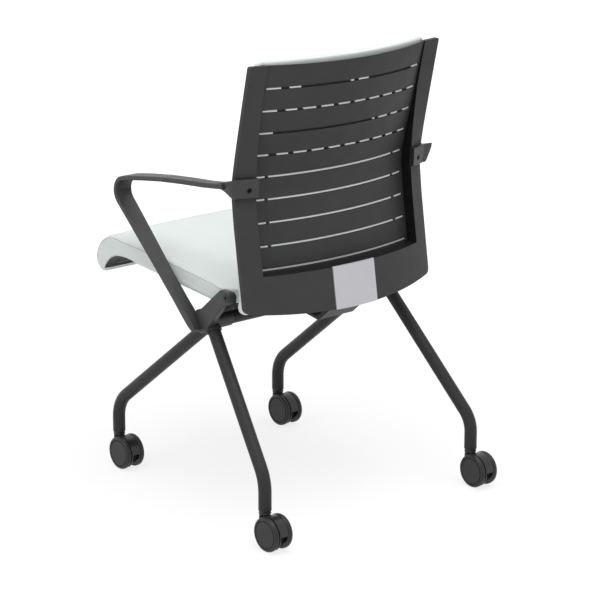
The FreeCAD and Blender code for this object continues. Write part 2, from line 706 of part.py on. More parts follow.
def clip():
    tip = EAR_IN - 3.2
    ring = rod(6.4, V(tip + 1.25, PIVOT_Y, PIVOT_Z), V(tip + 2.35, PIVOT_Y, PIVOT_Z))
    ring = ring.cut(rod(PIN_D / 2 - 0.75, V(tip, PIVOT_Y, PIVOT_Z), V(tip + 5, PIVOT_Y, PIVOT_Z)))
    return ring.cut(Part.makeBox(6, 4.6, 12, V(tip, PIVOT_Y - 2.3, PIVOT_Z - 12)))


def hex_socket(base, axis, across, depth):
    r = across / math.sqrt(3)
    axis = V(axis)
    u = V(0, 0, 1)
    w = axis.cross(u)
    pts = []
    for i in range(6):
        a = math.radians(60 * i)
        pts.append(base + u * (r * math.cos(a)) + w * (r * math.sin(a)))
    return polygon(pts).extrude(axis * depth)


def arm_screw():
    y_face = rear_y(ARM_SCREW_X, ARM_SCREW_Z) + PAD_PROUD
    seat = y_face - 1.0
    under = V(ARM_SCREW_X, seat - ARM_HEAD_H, ARM_SCREW_Z)
    body = rod(ARM_HEAD_D / 2, under, V(ARM_SCREW_X, seat, ARM_SCREW_Z))
    body = body.fuse(rod(ARM_SCREW_D / 2, under - V(0, 12, 0), under))
    return body.cut(hex_socket(V(ARM_SCREW_X, seat - 3.2, ARM_SCREW_Z), V(0, 1, 0), 5.0, 6))


def bracket_screw():
    x = BRACKET_SCREW_X
    z = BRACKET_SCREW_Z
    y = front_y(x, z) - TOUCH - BRACKET_T
    body = rod(SMALL_HEAD_D / 2, V(x, y - 1.0, z), V(x, y + 1.6, z))
    return body.fuse(rod(SMALL_SCREW_D / 2, V(x, y, z), V(x, y + 11, z)))


def flange_screws():
    out = []
    for s in (-1, 1):
        for y in FLANGE_SCREW_Y:
            under = V(s * FLANGE_SCREW_X, y, FLANGE_Z - SMALL_HEAD_H)
            head = Part.makeCylinder(SMALL_HEAD_D / 2, SMALL_HEAD_H, under)
            pin = Part.makeCylinder(SMALL_SCREW_D / 2, 12.5, V(s * FLANGE_SCREW_X, y, FLANGE_Z))
            out.append(head.fuse(pin).removeSplitter())
    return Part.makeCompound(out)


# Legs: straight run, bend and upright end of a hollow tube
def leg_path(stem_x, stem_y, bend_z, top_x, top_y, trim_low, trim_top):
    foot = V(stem_x, stem_y, TUBE_END_Z)
    corner = V(stem_x, stem_y, bend_z)
    top = V(top_x, top_y, LEG_TOP_Z)
    down = (foot - corner)
    down.normalize()
    up = (top - corner)
    up.normalize()
    angle = math.pi - math.acos(down.dot(up))
    reach = BEND_R * math.tan(angle / 2)
    p1 = corner + down * reach
    p2 = corner + up * reach
    half = (down + up)
    half.normalize()
    centre = corner + half * (BEND_R / math.cos(angle / 2))
    start = foot + down * trim_low
    end = top + up * trim_top
    return start, p1, p2, end, centre, angle


def tube_solid(path, radius):
    start, p1, p2, end, centre, angle = path
    lower = rod(radius, start, p1)
    upper = rod(radius, p2, end)
    axis = (p1 - centre).cross(p2 - centre)
    axis.normalize()
    ring = Part.Face(Part.Wire([Part.makeCircle(radius, p1, p1 - start)]))
    bend = ring.revolve(centre, axis, math.degrees(angle))
    return lower.fuse([bend, upper])


def leg(stem_x, stem_y, bend_z, top_x, top_y):
    outer = tube_solid(leg_path(stem_x, stem_y, bend_z, top_x, top_y, 0, 0), TUBE_D / 2)
    inner = tube_solid(leg_path(stem_x, stem_y, bend_z, top_x, top_y, 2, 2), TUBE_D / 2 - TUBE_WALL)
    return outer.cut(inner)


def leg_axis(stem_x, stem_y, bend_z, top_x, top_y):
    corner = V(stem_x, stem_y, bend_z)
    top = V(top_x, top_y, LEG_TOP_Z)
    up = top - corner
    up.normalize()
    return top, up


# Arm casting: bent blade, rear pad with gusset, hub barrel and seat lug
def blade_section(y, z, angle, thick, x_in, x_out):
    # angle is the run direction from level; the outboard edges are eased more than the inboard ones
    a = math.radians(angle)
    n = V(0, -math.sin(a), math.cos(a))
    h = thick / 2

    def p(x, k):
        return V(x, y + n.y * k, z + n.z * k)
    r = BLADE_EDGE_OUT
    s = BLADE_EDGE_IN
    return Part.makePolygon([
        p(x_in + s, h), p(x_out - r, h), p(x_out, h - r), p(x_out, -h + r),
        p(x_out - r, -h), p(x_in + s, -h), p(x_in, -h + s), p(x_in, h - s), p(x_in + s, h)])


def arm():
    stations = []
    # the level run
    for i, (y, top, t, xi, xo) in enumerate(ARM_RUN):
        y0, z0 = ARM_RUN[max(0, i - 1)][:2]
        y1, z1 = ARM_RUN[min(len(ARM_RUN) - 1, i + 1)][:2]
        tilt = math.degrees(math.atan2(z0 - z1, y0 - y1))
        stations.append((y, top - t / 2, tilt, t, SEAT_HALF + xi, SEAT_HALF + xo))
    # the front corner turns about its own centre
    for a in CORNER_STEPS:
        r = math.radians(a)
        y = CORNER_Y - CORNER_R * math.sin(r)
        z = CORNER_Z + CORNER_R * math.cos(r)
        stations.append((y, z, a, BLADE_T, SEAT_HALF + CORNER_IN, SEAT_HALF + CORNER_OUT - a / CORNER_STEPS[-1]))
    # the sloping bar, down to the hub
    d = math.radians(CORNER_STEPS[-1])
    base = V(0, CORNER_Y - CORNER_R * math.sin(d), CORNER_Z + CORNER_R * math.cos(d))
    slope = math.radians(ARM_SLOPE_ANGLE)
    step = V(0, math.sin(slope), -math.cos(slope))
    for run_len, xi, xo, t in ARM_SLOPE:
        q = base + step * run_len
        stations.append((q.y, q.z, CORNER_STEPS[-1], t, SEAT_HALF + xi, SEAT_HALF + xo))
    wires = [blade_section(*s) for s in stations]
    blade = Part.makeLoft(wires, True, True)
    # hub barrel under the bar, and a slimmer barrel inboard that takes the crossbar
    barrel = rod(HUB_R, V(HUB_MID, HUB_Y, HUB_Z), V(HUB_OUT, HUB_Y, HUB_Z))
    rim = edges_where(barrel, lambda e: e.BoundBox.XMin > HUB_OUT - 0.1)
    barrel = barrel.makeChamfer(3.5, rim)
    rim = edges_where(barrel, lambda e: e.BoundBox.XMax < HUB_MID + 0.1)
    barrel = barrel.makeChamfer(4.5, rim)
    neck = rod(HUB_NECK_R, V(HUB_IN, BAR_Y, BAR_Z), V(HUB_MID + 8, BAR_Y, BAR_Z))
    rim = edges_where(neck, lambda e: e.BoundBox.XMax < HUB_IN + 0.1)
    neck = neck.makeChamfer(1.5, rim)
    # collars where the legs enter
    top_f, up_f = leg_axis(*FRONT_LEG)
    top_r, up_r = leg_axis(*REAR_LEG)
    collar_f = rod(TUBE_D / 2 + 3.0, top_f - up_f * 24, top_f + up_f * 4)
    collar_r = rod(TUBE_D / 2 + 2.6, top_r - up_r * 11, top_r + up_r * 4)
    # lug to the seat pivot: a fin with a squared, rounded end
    rise = math.tan(math.radians(LUG_RISE))
    fall = math.tan(math.radians(LUG_FALL))
    top = PIVOT_Z + LUG_R + 1.3
    back = PIVOT_Y + LUG_R - 1.3
    low = PIVOT_Z - LUG_R - 3.7
    heel = yz(HUB_Y - 6, HUB_Z + 16)
    toe = yz(HUB_Y + 24, low - (back - 12.7 - HUB_Y - 24) * fall)
    face = polygon([
        heel, yz(heel.y + (top - heel.z) / rise, top), yz(back, top), yz(back, low),
        yz(back - 12.7, low), toe, yz(HUB_Y, HUB_Z - 8)])
    lug = prism_x(face, LUG_IN, LUG_OUT)
    corners = edges_where(lug, lambda e: e.BoundBox.XLength > 5 and e.BoundBox.ZMin > low - 0.1)
    corners = [e for e in corners if e.BoundBox.YMax > 90]
    lug = lug.makeFillet(7.5, [e for e in corners if e.BoundBox.YMax > back - 1 or e.BoundBox.ZMax > top - 1])
    rim = edges_where(lug, lambda e: e.BoundBox.XMin > LUG_OUT - 0.1 and e.BoundBox.ZMax > 384)
    lug = lug.makeChamfer(1.6, rim)
    # rear gusset and the pad over the rail
    y_pad = rear_y(SHELL_HALF, (PAD_LOW + PAD_HIGH) / 2) + PAD_PROUD
    crown = yz(*GUSSET_TOP)
    root = yz(*GUSSET_ROOT)
    heel = yz(y_pad - 8, PAD_LOW + 1.5)
    gus = Part.Face(wire_of([
        Part.makeLine(crown, yz(y_pad, PAD_HIGH)), Part.makeLine(yz(y_pad, PAD_HIGH), yz(y_pad, PAD_LOW)),
        Part.makeLine(yz(y_pad, PAD_LOW), heel), arc3(heel, yz(y_pad - 16, PAD_LOW + 10), root),
        Part.makeLine(root, crown)]))
    gus = prism_x(gus, SHELL_HALF + 1.5, PAD_OUT + 4)
    # the outboard side of the gusset leans in towards the rail as it goes down
    shave = polygon([
        V(PAD_OUT + 5, 0, PAD_HIGH + 4), V(PAD_OUT + 3, 0, PAD_HIGH - 8), V(SHELL_HALF + 10, 0, PAD_LOW + 4),
        V(SHELL_HALF + 6, 0, PAD_LOW - 1), V(SHELL_HALF + 6, 0, PAD_LOW - 9), V(PAD_OUT + 9, 0, PAD_LOW - 9)])
    shave = shave.extrude(V(0, 300, 0))
    gus = gus.cut(shave)
    pad = band(PAD_LOW, PAD_HIGH, SHELL_HALF + 4, PAD_PROUD, 0)
    pad = pad.cut(band(PAD_LOW - 6, PAD_HIGH + 6, SHELL_HALF + 8, -PAD_SINK + TOUCH, 5))
    pad = pad.common(Part.makeBox(SHELL_HALF + 4 - PAD_IN, 300, 80, V(PAD_IN, 0, PAD_LOW - 20)))
    body = blade.fuse([barrel, neck, collar_f, collar_r, lug, gus, pad])
    # sockets, bores and counterbores
    head_y = rear_y(ARM_SCREW_X, ARM_SCREW_Z) + PAD_PROUD - 1.0 - ARM_HEAD_H
    body = body.cut([
        rod(TUBE_D / 2 + SLIP, top_f - up_f * 60, top_f + up_f * 0.2),
        rod(TUBE_D / 2 + SLIP, top_r - up_r * 60, top_r + up_r * 0.2),
        rod(CROSSBAR_D / 2 + SLIP, V(HUB_IN - 20, BAR_Y, BAR_Z), V(HUB_IN + SOCKET_DEPTH + 0.2, BAR_Y, BAR_Z)),
        rod(PIN_D / 2 + SLIP, V(LUG_IN - 5, PIVOT_Y, PIVOT_Z), V(LUG_OUT + 5, PIVOT_Y, PIVOT_Z)),
        rod(PIN_HEAD_D / 2 + SLIP, V(LUG_OUT - PIN_HEAD_H, PIVOT_Y, PIVOT_Z), V(LUG_OUT + 5, PIVOT_Y, PIVOT_Z)),
        rod(ARM_SCREW_D / 2 + SLIP, V(ARM_SCREW_X, 80, ARM_SCREW_Z), V(ARM_SCREW_X, 200, ARM_SCREW_Z)),
        rod(ARM_HEAD_D / 2 + SLIP, V(ARM_SCREW_X, head_y, ARM_SCREW_Z), V(ARM_SCREW_X, 200, ARM_SCREW_Z))])
    return body.removeSplitter()


# Crossbar and the folded bracket that carries the back
def crossbar():
    end = HUB_IN + SOCKET_DEPTH
    outer = rod(CROSSBAR_D / 2, V(-end, BAR_Y, BAR_Z), V(end, BAR_Y, BAR_Z))
    return outer.cut(rod(CROSSBAR_D / 2 - TUBE_WALL, V(-end - 1, BAR_Y, BAR_Z), V(end + 1, BAR_Y, BAR_Z)))


def bracket():
    r0 = CROSSBAR_D / 2 + SLIP
    r1 = r0 + BRACKET_T
    ring = rod(r1, V(-BRACKET_HALF, BAR_Y, BAR_Z), V(BRACKET_HALF, BAR_Y, BAR_Z))
    ring = ring.cut(Part.makeBox(200, 80, 80, V(-100, BAR_Y + 2.5, BAR_Z - 70)))
    fold_y = 133.0
    fold_z = 348.2
    rise_y = front_y(BRACKET_HALF, 386) - TOUCH - BRACKET_T
    plank = polygon([
        yz(BAR_Y + 6, BAR_Z + 5), yz(fold_y, fold_z), yz(fold_y + 7, fold_z + 1.5), yz(rise_y + 3.4, 382),
        yz(rise_y + 3.4, 391), yz(rise_y, 391), yz(rise_y - 1.5, 384), yz(fold_y + 3, fold_z + 8),
        yz(fold_y - 4, fold_z + 6.6), yz(BAR_Y + 4, BAR_Z + r1)])
    plank = prism_x(plank, -BRACKET_HALF, BRACKET_HALF)

    def rear(z):
        return (BRACKET_HALF, front_y(BRACKET_HALF, z) - TOUCH, front_y(0, z) - TOUCH)

    def front(z):
        return (BRACKET_HALF, front_y(BRACKET_HALF, z) - TOUCH - BRACKET_T, front_y(0, z) - TOUCH - BRACKET_T)
    tab = slab(spread(385.5, BRACKET_TAB_TOP, 4), rear, front)
    body = ring.fuse([plank, tab])
    body = body.cut(rod(r0, V(-BRACKET_HALF - 1, BAR_Y, BAR_Z), V(BRACKET_HALF + 1, BAR_Y, BAR_Z)))
    body = body.cut(shell_body_for_clearance())
    for s in (-1, 1):
        x = s * BRACKET_SCREW_X
        y = front_y(x, BRACKET_SCREW_Z)
        start = V(x, y - 12, BRACKET_SCREW_Z)
        body = body.cut(rod(SMALL_SCREW_D / 2 + SLIP, start, V(x, y + 9, BRACKET_SCREW_Z)))
        sunk = V(x, y - TOUCH - BRACKET_T + 1.6, BRACKET_SCREW_Z)
        body = body.cut(rod(SMALL_HEAD_D / 2 + SLIP, start, sunk))
    return body.removeSplitter()


def shell_body_for_clearance():
    # the space the shell takes at its lower middle, with the touch gap
    def rear(z):
        return (SHELL_HALF, rail_y(z) + 40, rear_y(0, z) + 40)

    def front(z):
        return (SHELL_HALF, front_y(SHELL_HALF, z) - TOUCH, front_y(0, z) - TOUCH)
    return slab(spread(SHELL_LOW - TOUCH, 450, 4), rear, front)


# Casters
def wheel(side):
    # solid of revolution about X: tread with rounded edges, flat disc and a ring groove
    x_in = WHEEL_OUT - WHEEL_W
    x_out = WHEEL_OUT
    e = WHEEL_EDGE
    bore = AXLE_D / 2 + SLIP

    def p(x, r):
        return V(x, r, 0)
    edges = [
        Part.makeLine(p(x_in, bore), p(x_in, WHEEL_R)),
        Part.makeLine(p(x_in, WHEEL_R), p(x_out - e, WHEEL_R)),
        Part.makeLine(p(x_out - e, WHEEL_R), p(x_out, WHEEL_R - e)),
        Part.makeLine(p(x_out, WHEEL_R - e), p(x_out - 1.6, DISC_R + 1.0)),
        Part.makeLine(p(x_out - 1.6, DISC_R + 1.0), p(x_out - 0.2, DISC_R - 0.6)),
        Part.makeLine(p(x_out - 0.2, DISC_R - 0.6), p(x_out - 0.2, 0)),
        Part.makeLine(p(x_out - 0.2, 0), p(x_out - 3.0, 0)),
        Part.makeLine(p(x_out - 3.0, 0), p(x_out - 3.0, bore)),
        Part.makeLine(p(x_out - 3.0, bore), p(x_in, bore))]
    solid = Part.Face(wire_of(edges)).revolve(V(0, 0, 0), V(1, 0, 0), 360)
    if side < 0:
        solid = mirrored(solid)
    return solid


def hood():
    body = rod(HOOD_R, V(-HOOD_HALF, 0, 0), V(HOOD_HALF, 0, 0))
    # open underside and the slot low at the rear
    body = body.cut(Part.makeBox(60, 80, 30, V(-30, -40, -WHEEL_R - 22.5)))
    body = body.cut(Part.makeBox(2 * HOOD_HALF - 5, 40, 40, V(-HOOD_HALF + 2.5, 6.5, -40)).common(
        Part.makeBox(40, 60, 31, V(-20, 0, -37))))
    body = body.cut(Part.makeBox(2 * HOOD_HALF - 5, 26, 14, V(-HOOD_HALF + 2.5, -26, -31)))
    # neck round the stem
    neck_low = -8.0
    neck = Part.makeCylinder(NECK_D / 2, NECK_TOP - WHEEL_R - neck_low, V(0, -TRAIL, neck_low))
    # the neck is kept clear of both wheels
    clear = Part.makeBox(40, 200, 200, V(HOOD_HALF, -100, -100))
    clear = clear.common(rod(WHEEL_R + 1.0, V(0, 0, 0), V(40, 0, 0)))
    neck = neck.cut([clear, mirrored(clear)])
    body = body.fuse(neck).removeSplitter()
    # ribs seen in the slot
    rib = Part.makeBox(2.0, 12, 16, V(-1.0, 6.0, -22))
    body = body.fuse(rib.common(rod(HOOD_R - 3, V(-5, 0, 0), V(5, 0, 0)))).removeSplitter()
    body = body.cut(Part.makeCylinder(STEM_D / 2 + SLIP, 80, V(0, -TRAIL, -2)))
    return body.cut(rod(AXLE_D / 2 + SLIP, V(-30, 0, 0), V(30, 0, 0)))


def stem():
    low = WHEEL_R - 1.8
    high = TUBE_END_Z + INSERT_LEN - 8
    return Part.makeCylinder(STEM_D / 2, high - low, V(0, 0, low))


def insert():
    low = TUBE_END_Z - INSERT_FLANGE
    body = Part.makeCylinder(TUBE_D / 2 - TUBE_WALL - SLIP, INSERT_LEN, V(0, 0, TUBE_END_Z))
    body = body.fuse(Part.makeCylinder(NECK_D / 2 + 0.2, INSERT_FLANGE, V(0, 0, low))).removeSplitter()
    return body.cut(Part.makeCylinder(STEM_D / 2 + SLIP, INSERT_LEN - 4, V(0, 0, low - 0.1)))


def axle():
    reach = WHEEL_OUT - 3.2
    return rod(AXLE_D / 2, V(-reach, 0, 0), V(reach, 0, 0))


def moved(shape, x, y, z):
    out = shape.copy()
    out.translate(V(x, y, z))
    return out


def build():
    arm_left = arm()
    save(arm_left, "arm_left")
    save(mirrored(arm_left), "arm_right")
    for name, data in (("leg_front", FRONT_LEG), ("leg_rear", REAR_LEG)):
        tube = leg(*data)
        save(tube, name + "_left")
        save(mirrored(tube), name + "_right")
    save(crossbar(), "crossbar")
    save(bracket(), "back_bracket")
    save(shell(), "back_shell")
    save(plate(), "centre_plate")
    save(carrier(), "rib_carrier")
    save(back_cushion(), "back_cushion")
    save(seat_cushion(), "seat_cushion")
    save(seat_pan(), "seat_pan")
    hinge_part = hinge()
    save(hinge_part, "hinge_left")
    save(mirrored(hinge_part), "hinge_right")
    rubber = bumper()
    save(Part.makeCompound([rubber, mirrored(rubber)]), "seat_bumpers")
    pin = pivot_pin()
    save(pin, "pivot_pin_left")
    save(mirrored(pin), "pivot_pin_right")
    ring = clip()
    save(Part.makeCompound([ring, mirrored(ring)]), "pin_clips")
    screw = arm_screw()
    save(Part.makeCompound([screw, mirrored(screw)]), "arm_screws")
    small = bracket_screw()
    save(Part.makeCompound([small, mirrored(small)]), "bracket_screws")
    save(flange_screws(), "hinge_screws")
    wheel_out = wheel(1)
    wheel_in = wheel(-1)
    body = hood()
    pin_down = stem()
    sleeve = insert()
    bar = axle()
    feet = {
        "front_left": (FRONT_STEM_X, FRONT_STEM_Y), "front_right": (-FRONT_STEM_X, FRONT_STEM_Y),
        "rear_left": (REAR_STEM_X, REAR_STEM_Y), "rear_right": (-REAR_STEM_X, REAR_STEM_Y)}
    for key, (x, y) in feet.items():
        save(moved(wheel_out, x, y + TRAIL, WHEEL_R), "wheel_" + key + "_a")
        save(moved(wheel_in, x, y + TRAIL, WHEEL_R), "wheel_" + key + "_b")
        save(moved(body, x, y + TRAIL, WHEEL_R), "hood_" + key)
        save(moved(pin_down, x, y, 0), "stem_" + key)
        save(moved(sleeve, x, y, 0), "insert_" + key)
        save(moved(bar, x, y + TRAIL, WHEEL_R), "axle_" + key)


build()
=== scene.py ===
from math import cos, pi, radians, sin
import bmesh
import bpy
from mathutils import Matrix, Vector
from mathutils.bvhtree import BVHTree


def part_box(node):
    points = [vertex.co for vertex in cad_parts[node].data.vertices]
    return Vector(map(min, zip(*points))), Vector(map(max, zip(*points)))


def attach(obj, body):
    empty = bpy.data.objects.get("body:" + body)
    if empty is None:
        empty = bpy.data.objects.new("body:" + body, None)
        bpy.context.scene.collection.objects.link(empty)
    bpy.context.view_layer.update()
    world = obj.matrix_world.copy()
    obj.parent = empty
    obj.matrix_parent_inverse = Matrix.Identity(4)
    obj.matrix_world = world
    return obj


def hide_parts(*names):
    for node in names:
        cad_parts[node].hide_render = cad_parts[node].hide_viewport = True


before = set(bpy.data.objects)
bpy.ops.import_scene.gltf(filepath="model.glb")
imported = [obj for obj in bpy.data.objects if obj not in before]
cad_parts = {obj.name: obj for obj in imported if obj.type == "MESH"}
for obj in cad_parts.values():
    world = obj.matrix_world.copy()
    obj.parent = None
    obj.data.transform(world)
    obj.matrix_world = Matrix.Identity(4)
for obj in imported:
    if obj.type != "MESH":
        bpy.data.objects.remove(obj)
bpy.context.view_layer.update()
scene = bpy.context.scene

# Lengths are in metres. +x is the sitter's left, -y the chair's front, and the floor is z = 0.


# Camera of the photograph

LENS, SENSOR = 151.2, 36.0
CAMERA_AT = (2.8004, 3.3688, 1.6340)
YAW, PITCH = radians(39.99), radians(16.27)
CLIP_NEAR, CLIP_FAR = 0.1, 50


def add_camera():
    data = bpy.data.cameras.new("camera")
    data.lens, data.sensor_width = LENS, SENSOR
    data.clip_start, data.clip_end = CLIP_NEAR, CLIP_FAR
    cam = bpy.data.objects.new("camera", data)
    scene.collection.objects.link(cam)
    cam.location = CAMERA_AT
    look = Vector((-sin(YAW) * cos(PITCH), -cos(YAW) * cos(PITCH), -sin(PITCH)))
    cam.rotation_euler = look.to_track_quat("-Z", "Y").to_euler()
    scene.camera = cam


# Node graphs

# Sockets of a Mix node whose data type is RGBA
MIX_FACTOR, MIX_A, MIX_B, MIX_RESULT = 0, 6, 7, 2


class Graph:
    """A material's nodes. Patterns run in object space, so a noise scale is in cells per metre."""

    def __init__(self, name):
        self.mat = bpy.data.materials.new(name)
        self.mat.use_nodes = True
        self.tree = self.mat.node_tree
        self.tree.nodes.clear()
        self.out = self.node("OutputMaterial")
        self.space = self.node("TexCoord").outputs["Object"]

    def node(self, kind, **sockets):
        """A new node. Each keyword sets or links an input, with underscores for spaces."""
        n = self.tree.nodes.new("ShaderNode" + kind)
        for key, value in sockets.items():
            self.put(n, key, value)
        return n

    def put(self, n, key, value):
        s = n.inputs[key.replace("_", " ") if isinstance(key, str) else key]
        if isinstance(value, bpy.types.NodeSocket):
            self.tree.links.new(value, s)
        else:
            s.default_value = value

    def noise(self, scale, detail=3, rough=0.55, vector=None):
        n = self.node("TexNoise", Scale=scale, Detail=detail, Roughness=rough)
        self.tree.links.new(vector or self.space, n.inputs["Vector"])
        return n.outputs["Fac"]

    def stretched(self, x, y, z):
        n = self.node("Mapping")
        n.inputs["Scale"].default_value = (x, y, z)
        self.tree.links.new(self.space, n.inputs["Vector"])
        return n.outputs["Vector"]

    def ramp(self, fac, *stops):
        n = self.node("ValToRGB")
        self.tree.links.new(fac, n.inputs["Fac"])
        e = n.color_ramp.elements
        while len(e) < len(stops):
            e.new(0.5)
        for k, (at, colour) in enumerate(stops):
            e[k].position = at
            e[k].color = (*colour, 1)
        return n.outputs["Color"]

    def spread(self, fac, low, high, lo=0.3, hi=0.7):
        """A value that runs from low to high while fac runs from lo to hi."""
        n = self.node("MapRange", Value=fac)
        n.inputs["From Min"].default_value, n.inputs["From Max"].default_value = lo, hi
        n.inputs["To Min"].default_value, n.inputs["To Max"].default_value = low, high
        return n.outputs["Result"]

    def math(self, op, a, b=0.0):
        n = self.node("Math")
        n.operation = op
        self.put(n, 0, a)
        self.put(n, 1, b)
        return n.outputs[0]

    def vector_value(self, op, *vectors):
        n = self.node("VectorMath")
        n.operation = op
        for k, vector in enumerate(vectors):
            self.tree.links.new(vector, n.inputs[k])
        return n.outputs["Value"]

    def mix(self, fac, a, colour):
        """Socket a, mixed with a plain colour by fac."""
        n = self.node("Mix")
        n.data_type = "RGBA"
        self.tree.links.new(fac, n.inputs[MIX_FACTOR])
        self.tree.links.new(a, n.inputs[MIX_A])
        n.inputs[MIX_B].default_value = (*colour, 1)
        return n.outputs[MIX_RESULT]

    def bump(self, height, distance, strength, normal=None):
        n = self.node("Bump", Height=height, Distance=distance, Strength=strength)
        if normal is not None:
            self.tree.links.new(normal, n.inputs["Normal"])
        return n.outputs["Normal"]

    def surface(self, **sockets):
        p = self.node("BsdfPrincipled", **sockets)
        self.tree.links.new(p.outputs[0], self.out.inputs["Surface"])
        return self.mat


def shade(colour, k):
    return tuple(min(1.0, c * k) for c in colour)


# The walls of the back's recess lie within WALL_IN of the middle plane, and its ledge below
# LEDGE_TOP. A face counts as one of them by how far its normal points sideways or up.
# These faces get painted shade: their colour is darkened for the shade that falls in the recess.
WALL_IN, LEDGE_TOP = 0.186, 0.50
WALL_TURN = (0.6, 0.8)
PAINTED_WALL_SHADE = 0.18


def painted_recess_shade(g):
    """Painted shade mask: 1 on the side walls and the ledge that frame the sunk panel of the back,
    0 elsewhere.
    """
    turned_to = g.node("SeparateXYZ", Vector=g.node("TexCoord").outputs["Normal"]).outputs
    at = g.node("SeparateXYZ", Vector=g.space).outputs
    inside = g.math("LESS_THAN", g.math("ABSOLUTE", at[0]), WALL_IN)
    side = g.spread(g.math("ABSOLUTE", turned_to[0]), 0.0, 1.0, *WALL_TURN)
    ledge = g.math("MULTIPLY", g.spread(turned_to[2], 0.0, 1.0, *WALL_TURN),
                   g.math("LESS_THAN", at[2], LEDGE_TOP))
    return g.math("MULTIPLY", inside, g.math("MAXIMUM", side, ledge))


# Mouldings: colour drift and flecks, edges rubbed lighter, and a gloss that wanders
DRIFT_CELLS, RUB_CELLS, GLOSS_CELLS = 9, 60, 35
DRIFT_SHARE, FLECK_SHARE, FLECK_SIZE = 0.7, 0.3, 0.45
TONE_DOWN, TONE_UP = 1 - 0.07, 1 + 0.07
DRIFT_LOW, DRIFT_HIGH = 0.32, 0.68
EDGE_DOT = (0.90, 0.995)
RUB_LEAST, RUB_MOST = 0.15, 0.55
GLOSS_DOWN, GLOSS_UP = 0.05, 0.06


def moulded(name, colour, rough, grain, cells, spec=0.2, wear=1.6, soft_edge=0.0009, recess=False):
    """Moulding or powder coat with fine pits, slow colour drift, and edges rubbed lighter."""
    g = Graph(name)
    drift = g.noise(DRIFT_CELLS, detail=4)
    fleck = g.noise(cells * FLECK_SIZE, detail=2)
    mixed = g.math("ADD", g.math("MULTIPLY", drift, DRIFT_SHARE),
                   g.math("MULTIPLY", fleck, FLECK_SHARE))
    body = g.ramp(mixed, (DRIFT_LOW, shade(colour, TONE_DOWN)),
                  (DRIFT_HIGH, shade(colour, TONE_UP)))
    soft = g.node("Bevel", Radius=soft_edge)
    soft.samples = 4
    flat = g.node("NewGeometry").outputs["Normal"]
    turn = g.vector_value("DOT_PRODUCT", soft.outputs[0], flat)
    edge = g.spread(turn, 1.0, 0.0, *EDGE_DOT)
    rubbed = g.math("MULTIPLY", edge, g.spread(g.noise(RUB_CELLS), RUB_LEAST, RUB_MOST))
    coat = g.mix(rubbed, body, shade(colour, wear))
    # Painted shade: the walls and ledge of the back's recess are darkened.
    if recess:
        coat = g.mix(painted_recess_shade(g), coat, shade(colour, PAINTED_WALL_SHADE))
    gloss = g.spread(g.noise(GLOSS_CELLS), rough - GLOSS_DOWN, rough + GLOSS_UP)
    pits = g.bump(g.noise(cells, detail=2), grain, strength=0.6, normal=soft.outputs[0])
    return g.surface(Base_Color=coat, Roughness=gloss, Specular_IOR_Level=spec, Normal=pits)


def woven(name, colour, pitch=0.0011):
    """Tight coated upholstery cloth: crossed yarns, faint mottling and a soft sheen."""
    mottle_cells, fuzz_cells, gloss_cells, yarn_height = 14, 1500, 50, 0.00006
    g = Graph(name)
    turns = 2 * pi / pitch
    x, y, z = g.node("SeparateXYZ", Vector=g.space).outputs
    across = g.math("SINE", g.math("MULTIPLY", x, turns))
    along = g.math("SINE", g.math("MULTIPLY", g.math("ADD", y, z), turns))
    yarn = g.math("ADD", g.math("MULTIPLY", across, along), g.noise(fuzz_cells, detail=2))
    mottle = g.noise(mottle_cells, detail=4)
    body = g.ramp(mottle, (0.35, shade(colour, 0.985)), (0.65, shade(colour, 1.012)))
    gloss = g.spread(g.noise(gloss_cells), low=0.58, high=0.70)
    return g.surface(Base_Color=body, Roughness=gloss, Specular_IOR_Level=0.3,
                     Sheen_Weight=0.30, Sheen_Roughness=0.4,
                     Normal=g.bump(yarn, yarn_height, strength=0.5))


def brushed(name, colour):
    """Satin silver lacquer with a fine horizontal brushing."""
    cloud_cells, along_cells, across_cells, line_height = 40, 30, 2600, 0.00003
    g = Graph(name)
    lines = g.noise(1.0, detail=4, rough=0.6,
                    vector=g.stretched(along_cells, along_cells, across_cells))
    cloud = g.noise(cloud_cells)
    body = g.ramp(cloud, (0.35, shade(colour, 0.99)), (0.65, shade(colour, 1.01)))
    return g.surface(Base_Color=body, Metallic=0.25,
                     Roughness=g.spread(lines, low=0.34, high=0.46),
                     Specular_IOR_Level=0.4, Normal=g.bump(lines, line_height, strength=0.4))


def turned(name, colour, rough, metallic=1.0):
    """Machined or plated steel with turning marks and light smudges."""
    smudge_cells, mark_cells, mark_height = 120, 1800, 0.00002
    g = Graph(name)
    smudge = g.noise(smudge_cells, detail=4)
    body = g.ramp(smudge, (0.35, shade(colour, 0.9)), (0.7, shade(colour, 1.06)))
    return g.surface(Base_Color=body, Metallic=metallic,
                     Roughness=g.spread(smudge, low=rough - 0.06, high=rough + 0.1),
                     Normal=g.bump(g.noise(mark_cells, detail=2), mark_height, strength=0.5))


# For mouldings: colour, roughness, depth of the pits, and pits per metre
finish = {
    "frame_coat": moulded("frame_coat", (0.031, 0.031, 0.032), 0.44, 0.00004, 1700),
    "arm_coat": moulded("arm_coat", (0.030, 0.030, 0.030), 0.46, 0.00005, 1500, spec=0.5),
    # The shell's recess walls and ledge get painted shade.
    "shell_plastic": moulded("shell_plastic", (0.048, 0.049, 0.048), 0.55, 0.00007, 1300,
                             wear=1.25, recess=True),
    "plate_silver": brushed("plate_silver", (0.59, 0.59, 0.62)),
    "cushion_cover": woven("cushion_cover", (0.795, 0.842, 0.822)),
    "bumper_rubber": moulded("bumper_rubber", (0.025, 0.025, 0.025), 0.75, 0.00005, 1100),
    "caster_plastic": moulded("caster_plastic", (0.020, 0.020, 0.020), 0.27, 0.00001, 1600,
                              spec=0.45, soft_edge=0.0005),
    "caster_wheel": moulded("caster_wheel", (0.021, 0.021, 0.021), 0.36, 0.00002, 1500,
                            spec=0.32, soft_edge=0.0003),
    "caster_steel": turned("caster_steel", (0.55, 0.55, 0.56), 0.32),
    "black_screw": turned("black_screw", (0.03, 0.03, 0.032), 0.38, 0.6),
}
